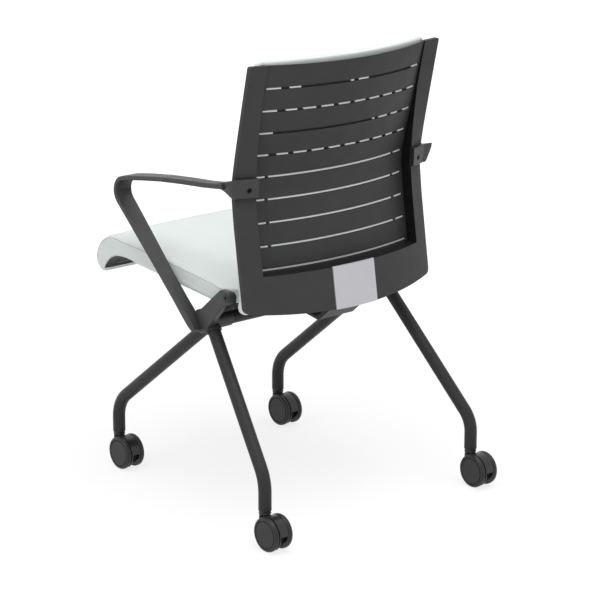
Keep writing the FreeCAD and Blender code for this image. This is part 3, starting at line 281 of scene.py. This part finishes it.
seam_cloth = woven("seam_cloth", (0.52, 0.545, 0.532), 0.0009)
thread = woven("thread", (0.77, 0.80, 0.785), 0.0006)


# Mesh helpers

SHARP_NEW, SHARP_CAD = 35, 32
WELD = 1e-6
ON_AXIS = 1e-7
TUBE_END = 0.35


def clean(mesh, weld=False, dissolve=False, outward=True):
    """Weld doubled points, drop faces without area, and turn the faces outward, as asked."""
    bm = bmesh.new()
    bm.from_mesh(mesh)
    if weld:
        bmesh.ops.remove_doubles(bm, verts=bm.verts, dist=WELD)
    if dissolve:
        bmesh.ops.dissolve_degenerate(bm, edges=bm.edges, dist=WELD)
    if outward:
        bmesh.ops.recalc_face_normals(bm, faces=bm.faces)
    bm.to_mesh(mesh)
    bm.free()


def smooth_shading(mesh, angle):
    """Smooth shading, with edges kept sharp above an angle in degrees."""
    mesh.shade_smooth()
    mesh.set_sharp_from_angle(angle=radians(angle))


def make(name, verts, faces, material, smooth=True):
    mesh = bpy.data.meshes.new(name)
    mesh.from_pydata([tuple(v) for v in verts], [], faces)
    mesh.validate()
    obj = bpy.data.objects.new(name, mesh)
    scene.collection.objects.link(obj)
    mesh.materials.append(material)
    clean(mesh)
    if smooth:
        smooth_shading(mesh, SHARP_NEW)
    return obj


def add_piece(name, geometry, material, body):
    obj = make(name, *geometry, material)
    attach(obj, body)
    return obj


def bake(obj):
    """Give an object the mesh that its modifiers make, and take them off."""
    graph = bpy.context.evaluated_depsgraph_get()
    graph.update()
    mesh = bpy.data.meshes.new_from_object(obj.evaluated_get(graph))
    obj.modifiers.clear()
    obj.data = mesh
    return mesh


def mesh_tree(mesh):
    return BVHTree.FromPolygons([v.co.copy() for v in mesh.vertices],
                                [tuple(p.vertices) for p in mesh.polygons])


def solid_tree(node):
    """Search tree of a CAD node's own mesh, also of one that is hidden."""
    return mesh_tree(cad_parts[node].data)


def tree_of(obj):
    return BVHTree.FromObject(obj, bpy.context.evaluated_depsgraph_get())


def centre_of(node):
    lo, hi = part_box(node)
    return (lo + hi) / 2


def lathe_x(profile, centre, side, steps):
    """Points and faces of (radius, out) stations turned about an x axis through centre."""
    verts, faces, rings = [], [], []
    for r, out in profile:
        ring = []
        for k in range(1 if r < ON_AXIS else steps):
            a = 2 * pi * k / steps
            ring.append(len(verts))
            verts.append((centre[0] + side * out,
                          centre[1] + r * cos(a), centre[2] + r * sin(a)))
        rings.append(ring)
    for a, b in zip(rings, rings[1:]):
        for k in range(steps):
            n = (k + 1) % steps
            if len(a) == 1:
                faces.append((a[0], b[k], b[n]))
            elif len(b) == 1:
                faces.append((a[k], b[0], a[n]))
            else:
                faces.append((a[k], b[k], b[n], a[n]))
    return verts, faces


def tube_along(points, radius, sides, flat, ups):
    """A closed tube along points, whose radius along the ups is flat times that across them."""
    verts, faces = [], []
    count = len(points)
    for k, p in enumerate(points):
        a = points[max(0, k - 1)]
        b = points[min(count - 1, k + 1)]
        t = (b - a).normalized()
        u = ups[k]
        u = (u - t * u.dot(t)).normalized()
        w = t.cross(u)
        end = TUBE_END if k in (0, count - 1) else 1.0
        for s in range(sides):
            q = 2 * pi * s / sides
            verts.append(p + (u * cos(q) * radius * flat + w * sin(q) * radius) * end)
    for k in range(count - 1):
        for s in range(sides):
            n = (s + 1) % sides
            low, high = k * sides, (k + 1) * sides
            faces.append((low + s, low + n, high + n, high + s))
    faces.append(tuple(range(sides)))
    faces.append(tuple((count - 1) * sides + s for s in range(sides)))
    return verts, faces


def prism(outline, x0, x1):
    """Closed plate between x0 and x1 from a yz outline."""
    n = len(outline)
    verts = [Vector((x, y, z)) for x in (x0, x1) for y, z in outline]
    faces = [tuple(range(n)), tuple(range(2 * n - 1, n - 1, -1))]
    faces += [(k, (k + 1) % n, n + (k + 1) % n, n + k) for k in range(n)]
    return verts, faces


def join(parts):
    verts, faces = [], []
    for v, f in parts:
        base = len(verts)
        verts += v
        faces += [tuple(i + base for i in face) for face in f]
    return verts, faces


# Cushions

VOXEL, VOXEL_QUICK = 0.004, 0.010
DRAWN_IN, BLOWN_MOST = 0.0010, 0.0020
DEEPEST, SHALLOWEST = 0.0011, 0.0002
CLOTH_FRAMES = 20

# Where a pad's skin is held while it fills: on the seat, faces that look down from HELD_FROM to
# the rear, and on the back, faces that look to the rear
HELD_DOWN, HELD_FROM, HELD_REAR = -0.5, -0.24, 0.6


def blow_up(obj, held):
    """Fill a pad's skin as cloth under pressure. No point moves more than BLOWN_MOST."""
    mesh = obj.data
    rest = [v.co.copy() for v in mesh.vertices]
    group = obj.vertex_groups.new(name="held")
    group.add([v.index for v in mesh.vertices if held(v.co, v.normal)], 1.0, "REPLACE")
    cloth = obj.modifiers.new("fill", "CLOTH")
    s = cloth.settings
    s.quality, s.mass = 5, 0.3
    s.tension_stiffness = s.compression_stiffness = 20
    s.shear_stiffness, s.bending_stiffness = 8, 0.6
    s.use_pressure, s.uniform_pressure_force = True, 4
    s.effector_weights.gravity = 0
    s.vertex_group_mass = "held"
    cloth.point_cache.frame_start, cloth.point_cache.frame_end = 1, CLOTH_FRAMES
    for f in range(1, CLOTH_FRAMES + 1):
        scene.frame_set(f)
    graph = bpy.context.evaluated_depsgraph_get()
    blown = [v.co.copy() for v in obj.evaluated_get(graph).data.vertices]
    obj.modifiers.clear()
    scene.frame_set(1)
    for v, a, b in zip(mesh.vertices, rest, blown):
        step = b - a
        if step.length > BLOWN_MOST:
            step *= BLOWN_MOST / step.length
        v.co = a + step


def cushion(node, name, body, held):
    """A pad: its solid remeshed, drawn in, blown up as cloth and kept just inside the solid."""
    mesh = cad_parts[node].data.copy()
    obj = bpy.data.objects.new(name, mesh)
    scene.collection.objects.link(obj)
    clean(mesh, weld=True)
    limit = mesh_tree(mesh)
    remesh = obj.modifiers.new("remesh", "REMESH")
    remesh.mode = "VOXEL"
    remesh.voxel_size = VOXEL
    mesh = bake(obj)
    for v in mesh.vertices:
        spot, normal, _, _ = limit.find_nearest(v.co)
        v.co = spot - normal * DRAWN_IN
    blow_up(obj, held)
    sub = obj.modifiers.new("sub", "SUBSURF")
    sub.levels = sub.render_levels = 1
    mesh = bake(obj)
    for v in mesh.vertices:
        spot, normal, _, _ = limit.find_nearest(v.co)
        out = (v.co - spot).dot(normal)
        if not -DEEPEST < out < -SHALLOWEST:
            v.co = spot + normal * max(-DEEPEST, min(-SHALLOWEST, out))
    for p in mesh.polygons:
        p.use_smooth = True
    mesh.materials.clear()
    mesh.materials.append(finish["cushion_cover"])
    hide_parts(node)
    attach(obj, body)
    return obj


def on_seat_pan(p, normal):
    return normal.z < HELD_DOWN and p.y > HELD_FROM


def on_back_shell(p, normal):
    return normal.y > HELD_REAR


seat_lo, seat_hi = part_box("seat_cushion")
back_lo, back_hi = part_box("back_cushion")
seat_pad = cushion("seat_cushion", "seat_pad", "seat", on_seat_pan)
back_pad = cushion("back_cushion", "back_pad", "base", on_back_shell)


# Seams

# Seat: SIDE_IN from the side, from NOSE_Z up in steps, over the crest, and DROP below the edge.
# Stitches take the front for outward up to NOSE_TOP over the pad's lowest point, then upward.
SIDE_IN, NOSE_Z, NOSE_STEP, NOSE_STEPS, NOSE_TOP = 0.012, 0.404, 0.0035, 14, 0.06
CREST_START, CREST_STEP, CREST_END = 0.004, 0.006, 0.006
DROP, SEAM_SUNK = 0.0055, 0.0001
STEEP = 0.2
WELT_SIDES, WELT_FLAT, SEAT_WELT_R, BACK_WELT_R = 8, 0.8, 0.0007, 0.0008

# Back: parallel to the outline, INSET from the side and a little more or less at the ends
INSET, INSET_LOW, INSET_HIGH = 0.009, 0.8, 1.1
BACK_STEP, BACK_ROUNDS = 0.008, 8
FACE_X, FACE_BEHIND = 0.15, 0.006

# Stitches: thread bars along a seam, sunk at both ends
STITCH_PITCH, STITCH_LONG, STITCH_R, STITCH_SIDES = 0.0046, 0.0030, 0.00028, 6
STITCH_AT = (-1, -0.6, 0, 0.6, 1)
STITCH_UP, STITCH_SINK = 0.55, 0.75
SEAT_STITCH_OFF, BACK_STITCH_OFF = 0.0030, 0.0032

# Where the rays that look for a pad start: off its front, above it, and off its side
RAY_FRONT, RAY_TOP, RAY_SIDE = 0.05, 0.6, 0.3
RAY_BACK_FRONT, RAY_BACK_SIDE = 0.2, 0.4


def seat_route(tree, x):
    """Points on the seat pad at x: up the nose, over the crest and back to the hinge."""
    route = []
    for k in range(NOSE_STEPS):
        z = NOSE_Z + k * NOSE_STEP
        hit = tree.ray_cast(Vector((x, seat_lo.y - RAY_FRONT, z)), Vector((0, 1, 0)))[0]
        if hit:
            route.append(hit)
    y = route[-1].y + CREST_START
    while y < seat_hi.y - CREST_END:
        hit = tree.ray_cast(Vector((x, y, RAY_TOP)), Vector((0, 0, -1)))[0]
        if hit:
            route.append(hit)
        y += CREST_STEP
    return route


def seat_seam(side):
    """Welt on the seat's flank, just under its top edge."""
    tree = tree_of(seat_pad)
    route = seat_route(tree, side * (seat_hi.x - SIDE_IN))
    line, ups = [], []
    for k, p in enumerate(route):
        a, b = route[max(0, k - 1)], route[min(len(route) - 1, k + 1)]
        t = (b - a).normalized()
        inward = Vector((0, t.z, -t.y))
        if inward.z > 0 and abs(t.y) > STEEP:
            inward = -inward
        if abs(t.y) <= STEEP:
            inward = Vector((0, 1, 0))
        q = p + inward * DROP
        hit = tree.ray_cast(Vector((side * RAY_SIDE, q.y, q.z)), Vector((-side, 0, 0)))[0]
        if hit:
            line.append(hit - Vector((side, 0, 0)) * SEAM_SUNK)
            ups.append(Vector((side, 0, 0)))
    return line, ups


def back_seam(tree):
    """Closed seam round the front of the back pad, parallel to its outline."""

    def front(x, z):
        return tree.ray_cast(Vector((x, back_lo.y - RAY_BACK_FRONT, z)), Vector((0, 1, 0)))

    def side_at(z):
        face = front(FACE_X, z)[0]
        start = Vector((RAY_BACK_SIDE, face.y + FACE_BEHIND, z))
        hit = tree.ray_cast(start, Vector((-1, 0, 0)))[0]
        return hit.x - INSET if hit else back_hi.x - INSET

    low, high = back_lo.z + INSET * INSET_LOW, back_hi.z - INSET * INSET_HIGH
    count = int((high - low) / BACK_STEP)
    heights = [low + (high - low) * k / count for k in range(count + 1)]
    flank = [(side_at(z), z) for z in heights]
    bottom_x, top_x = flank[0][0], flank[-1][0]
    across_top = int(2 * top_x / BACK_STEP)
    across_low = int(2 * bottom_x / BACK_STEP)
    path = list(flank)
    path += [(top_x * (1 - 2 * k / across_top), high) for k in range(1, across_top)]
    path += [(-x, z) for x, z in reversed(flank)]
    path += [(-bottom_x * (1 - 2 * k / across_low), low) for k in range(1, across_low)]
    for _ in range(BACK_ROUNDS):
        path = [((a[0] + 2 * b[0] + c[0]) / 4, (a[1] + 2 * b[1] + c[1]) / 4)
                for a, b, c in zip(path[-1:] + path[:-1], path, path[1:] + path[:1])]
    line, ups = [], []
    for x, z in path:
        hit, normal, _, _ = front(x, z)
        if hit:
            line.append(hit)
            ups.append(normal)
    return line + line[:2], ups + ups[:2]


def stitch_row(tree, line, ups, aside):
    """Short thread bars on the pad, in a row beside a seam."""
    parts, run = [], 0.0
    for a, b, up in zip(line, line[1:], ups):
        span = (b - a).length
        t = (b - a).normalized()
        while run < span:
            off = up.cross(t).normalized() * aside
            bar = []
            for k in STITCH_AT:
                at = a + t * (run + k * STITCH_LONG / 2) + off
                spot, normal, _, _ = tree.find_nearest(at)
                bar.append(spot + normal * (STITCH_R * (STITCH_UP - STITCH_SINK * k * k)))
            parts.append(tube_along(bar, STITCH_R, STITCH_SIDES, 1.0, [up] * len(bar)))
            run += STITCH_PITCH
        run -= span
    return join(parts)


def add_seams():
    tree = tree_of(seat_pad)
    for side, tag in ((1, "left"), (-1, "right")):
        line, ups = seat_seam(side)
        welt = tube_along(line, SEAT_WELT_R, WELT_SIDES, WELT_FLAT, ups)
        add_piece("seat_welt_" + tag, welt, seam_cloth, "seat")
        tops = [Vector((0, 0, 1)) if p.z > seat_lo.z + NOSE_TOP else Vector((0, -1, 0))
                for p in line]
        row = stitch_row(tree, line, tops, side * SEAT_STITCH_OFF)
        add_piece("seat_stitches_" + tag, row, thread, "seat")
    tree = tree_of(back_pad)
    line, ups = back_seam(tree)
    welt = tube_along(line, BACK_WELT_R, WELT_SIDES, WELT_FLAT, ups)
    add_piece("back_welt", welt, seam_cloth, "base")
    row = stitch_row(tree, line, ups, BACK_STITCH_OFF)
    add_piece("back_stitches", row, thread, "base")


add_seams()


# Cover that bulges into the slots of the back

# A ridge stands RIDGE_SUNK below the panel's face, RIDGE_GAP off the slot's edges and RIDGE_END
# short of its ends, and reaches RIDGE_ROOT into the pad.
RIDGE_SUNK, RIDGE_GAP, RIDGE_END, RIDGE_STEP = 0.0008, 0.0004, 0.0006, 0.0015
RIDGE_ROOT, RIDGE_FILLET, RIDGE_LEAST = 0.0006, 0.0007, 3

# Slots are found by rays from behind: scan margin and step, and what counts as one slot
SCAN_MARGIN, SCAN_STEP, SAME_SLOT = 0.01, 0.0002, 0.001
THROUGH, SLOT_RIM, SLOT_DEEPEST = 0.0005, 0.0012, 0.02
RAY_REAR, AHEAD = 0.5, Vector((0, -1, 0))


def rear_of(tree, x, z):
    """How far to the rear a tree reaches at x and z, or None."""
    hit = tree.ray_cast(Vector((x, RAY_REAR, z)), AHEAD)[0]
    return hit.y if hit else None


def slot_rows(shell, pad, z, top):
    """Lowest and highest z of each slot between z and top, read on the middle plane."""
    rows = []
    while z < top:
        y = rear_of(shell, 0, z)
        if y is None or y < rear_of(pad, 0, z) + THROUGH:
            if rows and z - rows[-1][1] < SAME_SLOT:
                rows[-1][1] = z
            else:
                rows.append([z, z])
        z += SCAN_STEP
    return rows


def slot_runs(shell, carrier, pad, z0, z1, half):
    """Stretches of a slot between the carrier's ribs, as lists of (x, outer y, inner y)."""
    mid = (z0 + z1) / 2
    runs, run, x = [], [], half
    while x > -half:
        x -= RIDGE_STEP
        face = rear_of(shell, x, z1 + SLOT_RIM)
        back = rear_of(pad, x, mid)
        solids = [rear_of(tree, x, mid) for tree in (shell, carrier)]
        free = all(y is None or (back and y < back) for y in solids)
        if face and back and free and 0 < face - back < SLOT_DEEPEST:
            outer = (face + rear_of(shell, x, z0 - SLOT_RIM)) / 2 - RIDGE_SUNK
            run.append((x, outer, back - RIDGE_ROOT))
        elif run:
            runs.append(run)
            run = []
    return [r for r in runs + [run] if len(r) >= RIDGE_LEAST]


def ridge(run, low, high):
    """Closed bar along a run between two heights, with its outer edges cut off."""
    verts, n = [], 6
    for k, (x, outer, inner) in enumerate(run):
        if k == 0:
            x -= RIDGE_END
        if k == len(run) - 1:
            x += RIDGE_END
        shoulder = outer - RIDGE_FILLET
        verts += [Vector((x, inner, low)), Vector((x, shoulder, low)),
                  Vector((x, outer, low + RIDGE_FILLET)), Vector((x, outer, high - RIDGE_FILLET)),
                  Vector((x, shoulder, high)), Vector((x, inner, high))]
    faces = []
    for a in range(0, (len(run) - 1) * n, n):
        faces += [(a + s, a + (s + 1) % n, a + n + (s + 1) % n, a + n + s) for s in range(n)]
    last = (len(run) - 1) * n
    faces += [tuple(range(n)), tuple(last + s for s in reversed(range(n)))]
    return verts, faces


def add_slot_ridges():
    """The rear cover of the back pad, pressed between the carrier's ribs into each slot."""
    shell = solid_tree("back_shell")
    carrier = solid_tree("rib_carrier")
    pad = tree_of(back_pad)
    lo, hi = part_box("back_shell")
    parts = []
    for z0, z1 in slot_rows(shell, pad, lo.z + SCAN_MARGIN, hi.z - SCAN_MARGIN):
        for run in slot_runs(shell, carrier, pad, z0, z1, -lo.x):
            parts.append(ridge(run, z0 + RIDGE_GAP, z1 - RIDGE_GAP))
    add_piece("back_pad_ridges", join(parts), finish["cushion_cover"], "base")


add_slot_ridges()


# Liner inside the hollow of the seat's front lip: partly the pan's dark edge, partly painted shade
# in the hollow

# Rays fan out from LINER_FROM between two angles in degrees, where 0 points to the front
LINER_FROM = Vector((0, -0.228, 0.395))
LINER_HALF, LINER_LOW, LINER_HIGH = 0.2132, -9, 86
LINER_OFF, LINER_T = 0.0002, 0.0008
LINER_COLUMNS, LINER_ROWS = 41, 21


def liner_points():
    """Pairs of points on the lip's inner side, repeating the last pair where the pan hides it."""
    lip = solid_tree("seat_cushion")
    pan = solid_tree("seat_pan")
    verts = []
    for i in range(LINER_COLUMNS):
        aside = LINER_HALF * (2 * i / (LINER_COLUMNS - 1) - 1)
        start = LINER_FROM + Vector((aside, 0, 0))
        for j in range(LINER_ROWS):
            a = radians(LINER_LOW + (LINER_HIGH - LINER_LOW) * j / (LINER_ROWS - 1))
            ray = Vector((0, -cos(a), sin(a)))
            spot, normal, _, reach = lip.ray_cast(start, ray)
            met = pan.ray_cast(start, ray)
            if spot is None or (met[0] and met[3] < reach):
                verts += verts[-2:]
                continue
            if normal.dot(ray) > 0:
                normal = -normal
            verts += [spot + normal * LINER_OFF, spot + normal * (LINER_OFF + LINER_T)]
    return verts


def liner_faces():
    """Both sides of the liner, and its four edges."""

    def at(i, j, top):
        return (i * LINER_ROWS + j) * 2 + top

    faces = []
    for i in range(LINER_COLUMNS - 1):
        for j in range(LINER_ROWS - 1):
            faces += [(at(i, j, top), at(i + 1, j, top), at(i + 1, j + 1, top), at(i, j + 1, top))
                      for top in (0, 1)]
        faces += [(at(i, j, 0), at(i + 1, j, 0), at(i + 1, j, 1), at(i, j, 1))
                  for j in (0, LINER_ROWS - 1)]
    for j in range(LINER_ROWS - 1):
        faces += [(at(i, j, 0), at(i, j + 1, 0), at(i, j + 1, 1), at(i, j, 1))
                  for i in (0, LINER_COLUMNS - 1)]
    return faces


def add_lip_shade_liner():
    """The pan's thin front edge, a dark sheet over the inner side of the lip almost to its rim,
    which also paints shade in the hollow.
    """
    # Dark sheet: partly the pan's edge, partly painted shade in the lip's hollow.
    obj = add_piece("seat_lip_shade_liner", (liner_points(), liner_faces()), finish["shell_plastic"],
                    "seat")
    clean(obj.data, weld=True, dissolve=True)


add_lip_shade_liner()


# Casters

# Outline of a wheel half as (radius, out from its inner side), from the cover's middle out to
# the tread and back in to the hub, for a wheel of WHEEL_R and WHEEL_DEEP
WHEEL_R, WHEEL_DEEP, WHEEL_COVER = 0.0313, 0.0091, 0.0088
WHEEL_FACE = (
    (0.0030, 0.0089), (0.0237, 0.0089), (0.0240, 0.0087), (0.0241, 0.0070),
    (0.0249, 0.0069), (0.0250, 0.0078), (0.0255, 0.0087), (0.0262, 0.0091),
    (0.0280, 0.0091), (0.0297, 0.0085), (0.0308, 0.0072), (0.0313, 0.0053))
WHEEL_RIM = ((0.0313, 0.0019), (0.0310, 0.0009), (0.0303, 0.0002), (0.0293, 0.0), (0.0262, 0.0))
WHEEL_DISH = ((0.0250, 0.0026), (0.0080, 0.0028), (0.0072, 0.0004), (0.0042, 0.0002))
WHEEL_HUB = [(0.0042, 0.0006), (0.0, 0.0006)]
WHEEL_STEPS, WHEEL_STEPS_QUICK = 96, 32
GAP_WIDE, GAP_NARROW = 0.0013, 0.0003


def add_wheel(node, body):
    """Half of a twin wheel: rounded tread, sunk ring, flat cover, and a dished inner side."""
    lo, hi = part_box(node)
    centre = (lo + hi) / 2
    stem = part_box(node.replace("wheel", "stem")[:-2])
    middle = (stem[0].x + stem[1].x) / 2
    side = 1 if centre.x > middle else -1
    inner = lo.x if side > 0 else hi.x
    scale = (hi.x - lo.x) / WHEEL_DEEP
    radius = (hi.z - lo.z) / 2
    gap = GAP_WIDE if side > 0 else GAP_NARROW
    outline = WHEEL_FACE + tuple((r, o + gap) for r, o in WHEEL_RIM) + WHEEL_DISH
    profile = [(0.0, WHEEL_COVER * scale)]
    profile += [(r * radius / WHEEL_R, o * scale) for r, o in outline] + WHEEL_HUB
    steps = WHEEL_STEPS
    verts, faces = lathe_x(profile, (inner, centre.y, centre.z), side, steps)
    obj = make(node + "_fine", verts, faces, finish["caster_wheel"])
    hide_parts(node)
    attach(obj, body)


# The hood's solid has the radius HOOD_R. What lies outside HOOD_CORE is stretched to HOOD_FULL.
HOOD_R, HOOD_CORE, HOOD_FULL, HOOD_SLACK = 0.0296, 0.0200, 0.0308, 0.0003
SLOT_HALF, SLOT_TOP, SLOT_DEEP, SLOT_FAR = 0.0074, 0.0008, 0.0065, 0.04
RIB_X, RIB_T, RIB_SUNK, RIB_FOOT = (-0.0024, 0.0026), 0.0009, 0.0046, 0.004
RIB_ARC = [radians(a) for a in range(-52, 1, 4)]
COLLAR = [(0.0098, 0.0), (0.0108, 0.0002), (0.0112, 0.0007),
          (0.0112, 0.0013), (0.0108, 0.0018), (0.0098, 0.0020)]
COLLAR_LIFT, COLLAR_STEPS = 0.0001, 48


def cut_slot(obj, hub):
    """Cut the hood's slot, low at its rear, and return the hood's new mesh."""
    y0, y1 = hub.y + SLOT_DEEP, hub.y + SLOT_FAR
    z0, z1 = hub.z - SLOT_FAR, hub.z + SLOT_TOP
    box = prism([(y0, z1), (y1, z1), (y1, z0), (y0, z0)], hub.x - SLOT_HALF, hub.x + SLOT_HALF)
    cut = make("cutter", *box, finish["caster_plastic"], smooth=False)
    slot = obj.modifiers.new("slot", "BOOLEAN")
    slot.operation, slot.solver, slot.object = "DIFFERENCE", "EXACT", cut
    mesh = bake(obj)
    bpy.data.objects.remove(cut)
    return mesh


def hood_details(hub, stem):
    """The ribs in the slot and the collar on the neck."""
    parts = []
    reach = HOOD_R - RIB_SUNK
    outline = [(hub.y + reach * cos(a), hub.z + reach * sin(a)) for a in RIB_ARC]
    outline += [(hub.y + RIB_FOOT, hub.z), (hub.y + RIB_FOOT, hub.z + reach * sin(RIB_ARC[0]))]
    for x in RIB_X:
        parts.append(prism(outline, hub.x + x - RIB_T / 2, hub.x + x + RIB_T / 2))
    verts, faces = lathe_x(COLLAR + COLLAR[:1], (0, 0, 0), 1, COLLAR_STEPS)
    low = hub.z + HOOD_R + COLLAR_LIFT
    parts.append(([Vector((stem.x + y, stem.y + z, low + x)) for x, y, z in verts], faces))
    return join(parts)


def add_hood(place):
    """The hood between the wheels, from its solid, with a taller slot, ribs and a collar."""
    node = "hood_" + place
    hub = centre_of("axle_" + place)
    stem = centre_of("stem_" + place)
    obj = bpy.data.objects.new(node + "_fine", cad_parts[node].data.copy())
    scene.collection.objects.link(obj)
    clean(obj.data, weld=True, outward=False)
    mesh = cut_slot(obj, hub)
    for v in mesh.vertices:
        arm = Vector((0, v.co.y - hub.y, v.co.z - hub.z))
        r = arm.length
        if HOOD_CORE < r < HOOD_R + HOOD_SLACK:
            v.co += arm / r * (HOOD_FULL - HOOD_R) * (r - HOOD_CORE) / (HOOD_R - HOOD_CORE)
    verts, faces = hood_details(hub, stem)
    extra = bpy.data.meshes.new("extra")
    extra.from_pydata([tuple(v) for v in verts], [], faces)
    bm = bmesh.new()
    bm.from_mesh(mesh)
    bm.from_mesh(extra)
    bmesh.ops.recalc_face_normals(bm, faces=bm.faces)
    bm.to_mesh(mesh)
    bm.free()
    bpy.data.meshes.remove(extra)
    mesh.materials.clear()
    mesh.materials.append(finish["caster_plastic"])
    smooth_shading(mesh, SHARP_CAD)
    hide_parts(node)
    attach(obj, "swivel_" + place)


for node in sorted(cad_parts):
    kind, _, place = node.partition("_")
    if kind == "wheel":
        add_wheel(node, "roll_" + place)
    elif kind == "hood":
        add_hood(place)


# Carried-over CAD nodes, by name or by the first word of the name

SLOT_OF = {
    "arm_left": "arm_coat", "arm_right": "arm_coat",
    "back_bracket": "frame_coat", "crossbar": "frame_coat",
    "hinge_left": "frame_coat", "hinge_right": "frame_coat",
    "back_shell": "shell_plastic", "rib_carrier": "shell_plastic", "seat_pan": "shell_plastic",
    "centre_plate": "plate_silver", "seat_bumpers": "bumper_rubber",
    "arm_screws": "black_screw", "bracket_screws": "black_screw", "hinge_screws": "black_screw",
    "pivot_pin_left": "black_screw", "pivot_pin_right": "black_screw",
    "pin_clips": "caster_steel",
}
SLOT_OF_KIND = {
    "leg": "frame_coat", "axle": "caster_steel", "stem": "caster_steel",
    "insert": "caster_plastic", "hood": "caster_plastic", "wheel": "caster_wheel",
}

for node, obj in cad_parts.items():
    slot = SLOT_OF.get(node) or SLOT_OF_KIND.get(node.split("_")[0])
    if slot is None:
        continue
    for s in obj.material_slots:
        s.material = finish[slot]
    smooth_shading(obj.data, SHARP_CAD)


# Studio

WHITE = (1, 1, 1, 1)
WORLD_LIGHT = 0.40
FLOOR_HALF, FLOOR_DROP = 30, 0.0005
FLOOR_TONE, SHADOW_TONE = 0.9, 0.26
GLOW_NEAR, GLOW_FAR, GLOW_FROM, GLOW_TO = 0.80, 1.0, 0.7, 1.9
KEY_AT, KEY_TARGET, KEY_SIZE, KEY_POWER = (0.3, 0.7, 3.4), (0, 0, 0.4), 3.6, 82
FILL_AT, FILL_TARGET, FILL_SIZE, FILL_POWER = (3.2, 0.2, 1.9), (0, 0, 0.5), 2.2, 14


def seen_white(tree):
    """1 for what is seen directly, in a gloss or through glass, 0 for light on the object."""
    path = tree.nodes.new("ShaderNodeLightPath")
    total = path.outputs["Is Camera Ray"]
    for name in ("Is Glossy Ray", "Is Transmission Ray"):
        top = tree.nodes.new("ShaderNodeMath")
        top.operation = "MAXIMUM"
        tree.links.new(total, top.inputs[0])
        tree.links.new(path.outputs[name], top.inputs[1])
        total = top.outputs[0]
    return total


def mix_shaders(tree, fac, a, b):
    n = tree.nodes.new("ShaderNodeMixShader")
    for k, socket in enumerate((fac, a, b)):
        tree.links.new(socket, n.inputs[k])
    return n.outputs[0]


def add_stage():
    """White floor that fades into a white ground, with only a faint shadow on it."""
    g = Graph("studio_white")
    diffuse = g.node("BsdfDiffuse", Color=(FLOOR_TONE, FLOOR_TONE, FLOOR_TONE, 1))
    shadow = g.node("BsdfDiffuse", Color=(SHADOW_TONE, SHADOW_TONE, SHADOW_TONE, 1))
    away = g.vector_value("LENGTH", g.space)
    strength = g.spread(away, GLOW_NEAR, GLOW_FAR, GLOW_FROM, GLOW_TO)
    glow = g.node("Emission", Color=WHITE, Strength=strength)
    both = g.node("AddShader")
    g.tree.links.new(shadow.outputs[0], both.inputs[0])
    g.tree.links.new(glow.outputs[0], both.inputs[1])
    seen = mix_shaders(g.tree, seen_white(g.tree), diffuse.outputs[0], both.outputs[0])
    g.tree.links.new(seen, g.out.inputs["Surface"])
    w = FLOOR_HALF
    verts = [(-w, -w, 0), (w, -w, 0), (w, w, 0), (-w, w, 0)]
    floor = make("studio_floor", verts, [(0, 1, 2, 3)], g.mat, smooth=False)
    floor.location.z = -FLOOR_DROP


def add_light(name, at, target, size, power):
    data = bpy.data.lights.new(name, "AREA")
    data.shape, data.size, data.energy = "DISK", size, power
    obj = bpy.data.objects.new(name, data)
    scene.collection.objects.link(obj)
    obj.location = at
    obj.rotation_euler = (Vector(target) - Vector(at)).to_track_quat("-Z", "Y").to_euler()


def add_world():
    """Soft light from all sides, and pure white where the camera looks past the floor."""
    world = bpy.data.worlds.new("studio")
    scene.world = world
    world.use_nodes = True
    tree = world.node_tree
    tree.nodes.clear()
    out = tree.nodes.new("ShaderNodeOutputWorld")
    light, white = (tree.nodes.new("ShaderNodeBackground") for _ in range(2))
    light.inputs["Color"].default_value = white.inputs["Color"].default_value = WHITE
    light.inputs["Strength"].default_value = WORLD_LIGHT
    seen = mix_shaders(tree, seen_white(tree), light.outputs[0], white.outputs[0])
    tree.links.new(seen, out.inputs["Surface"])


add_camera()
add_stage()
add_world()
add_light("key", KEY_AT, KEY_TARGET, KEY_SIZE, KEY_POWER)
add_light("fill", FILL_AT, FILL_TARGET, FILL_SIZE, FILL_POWER)
scene.view_settings.view_transform = "Standard"
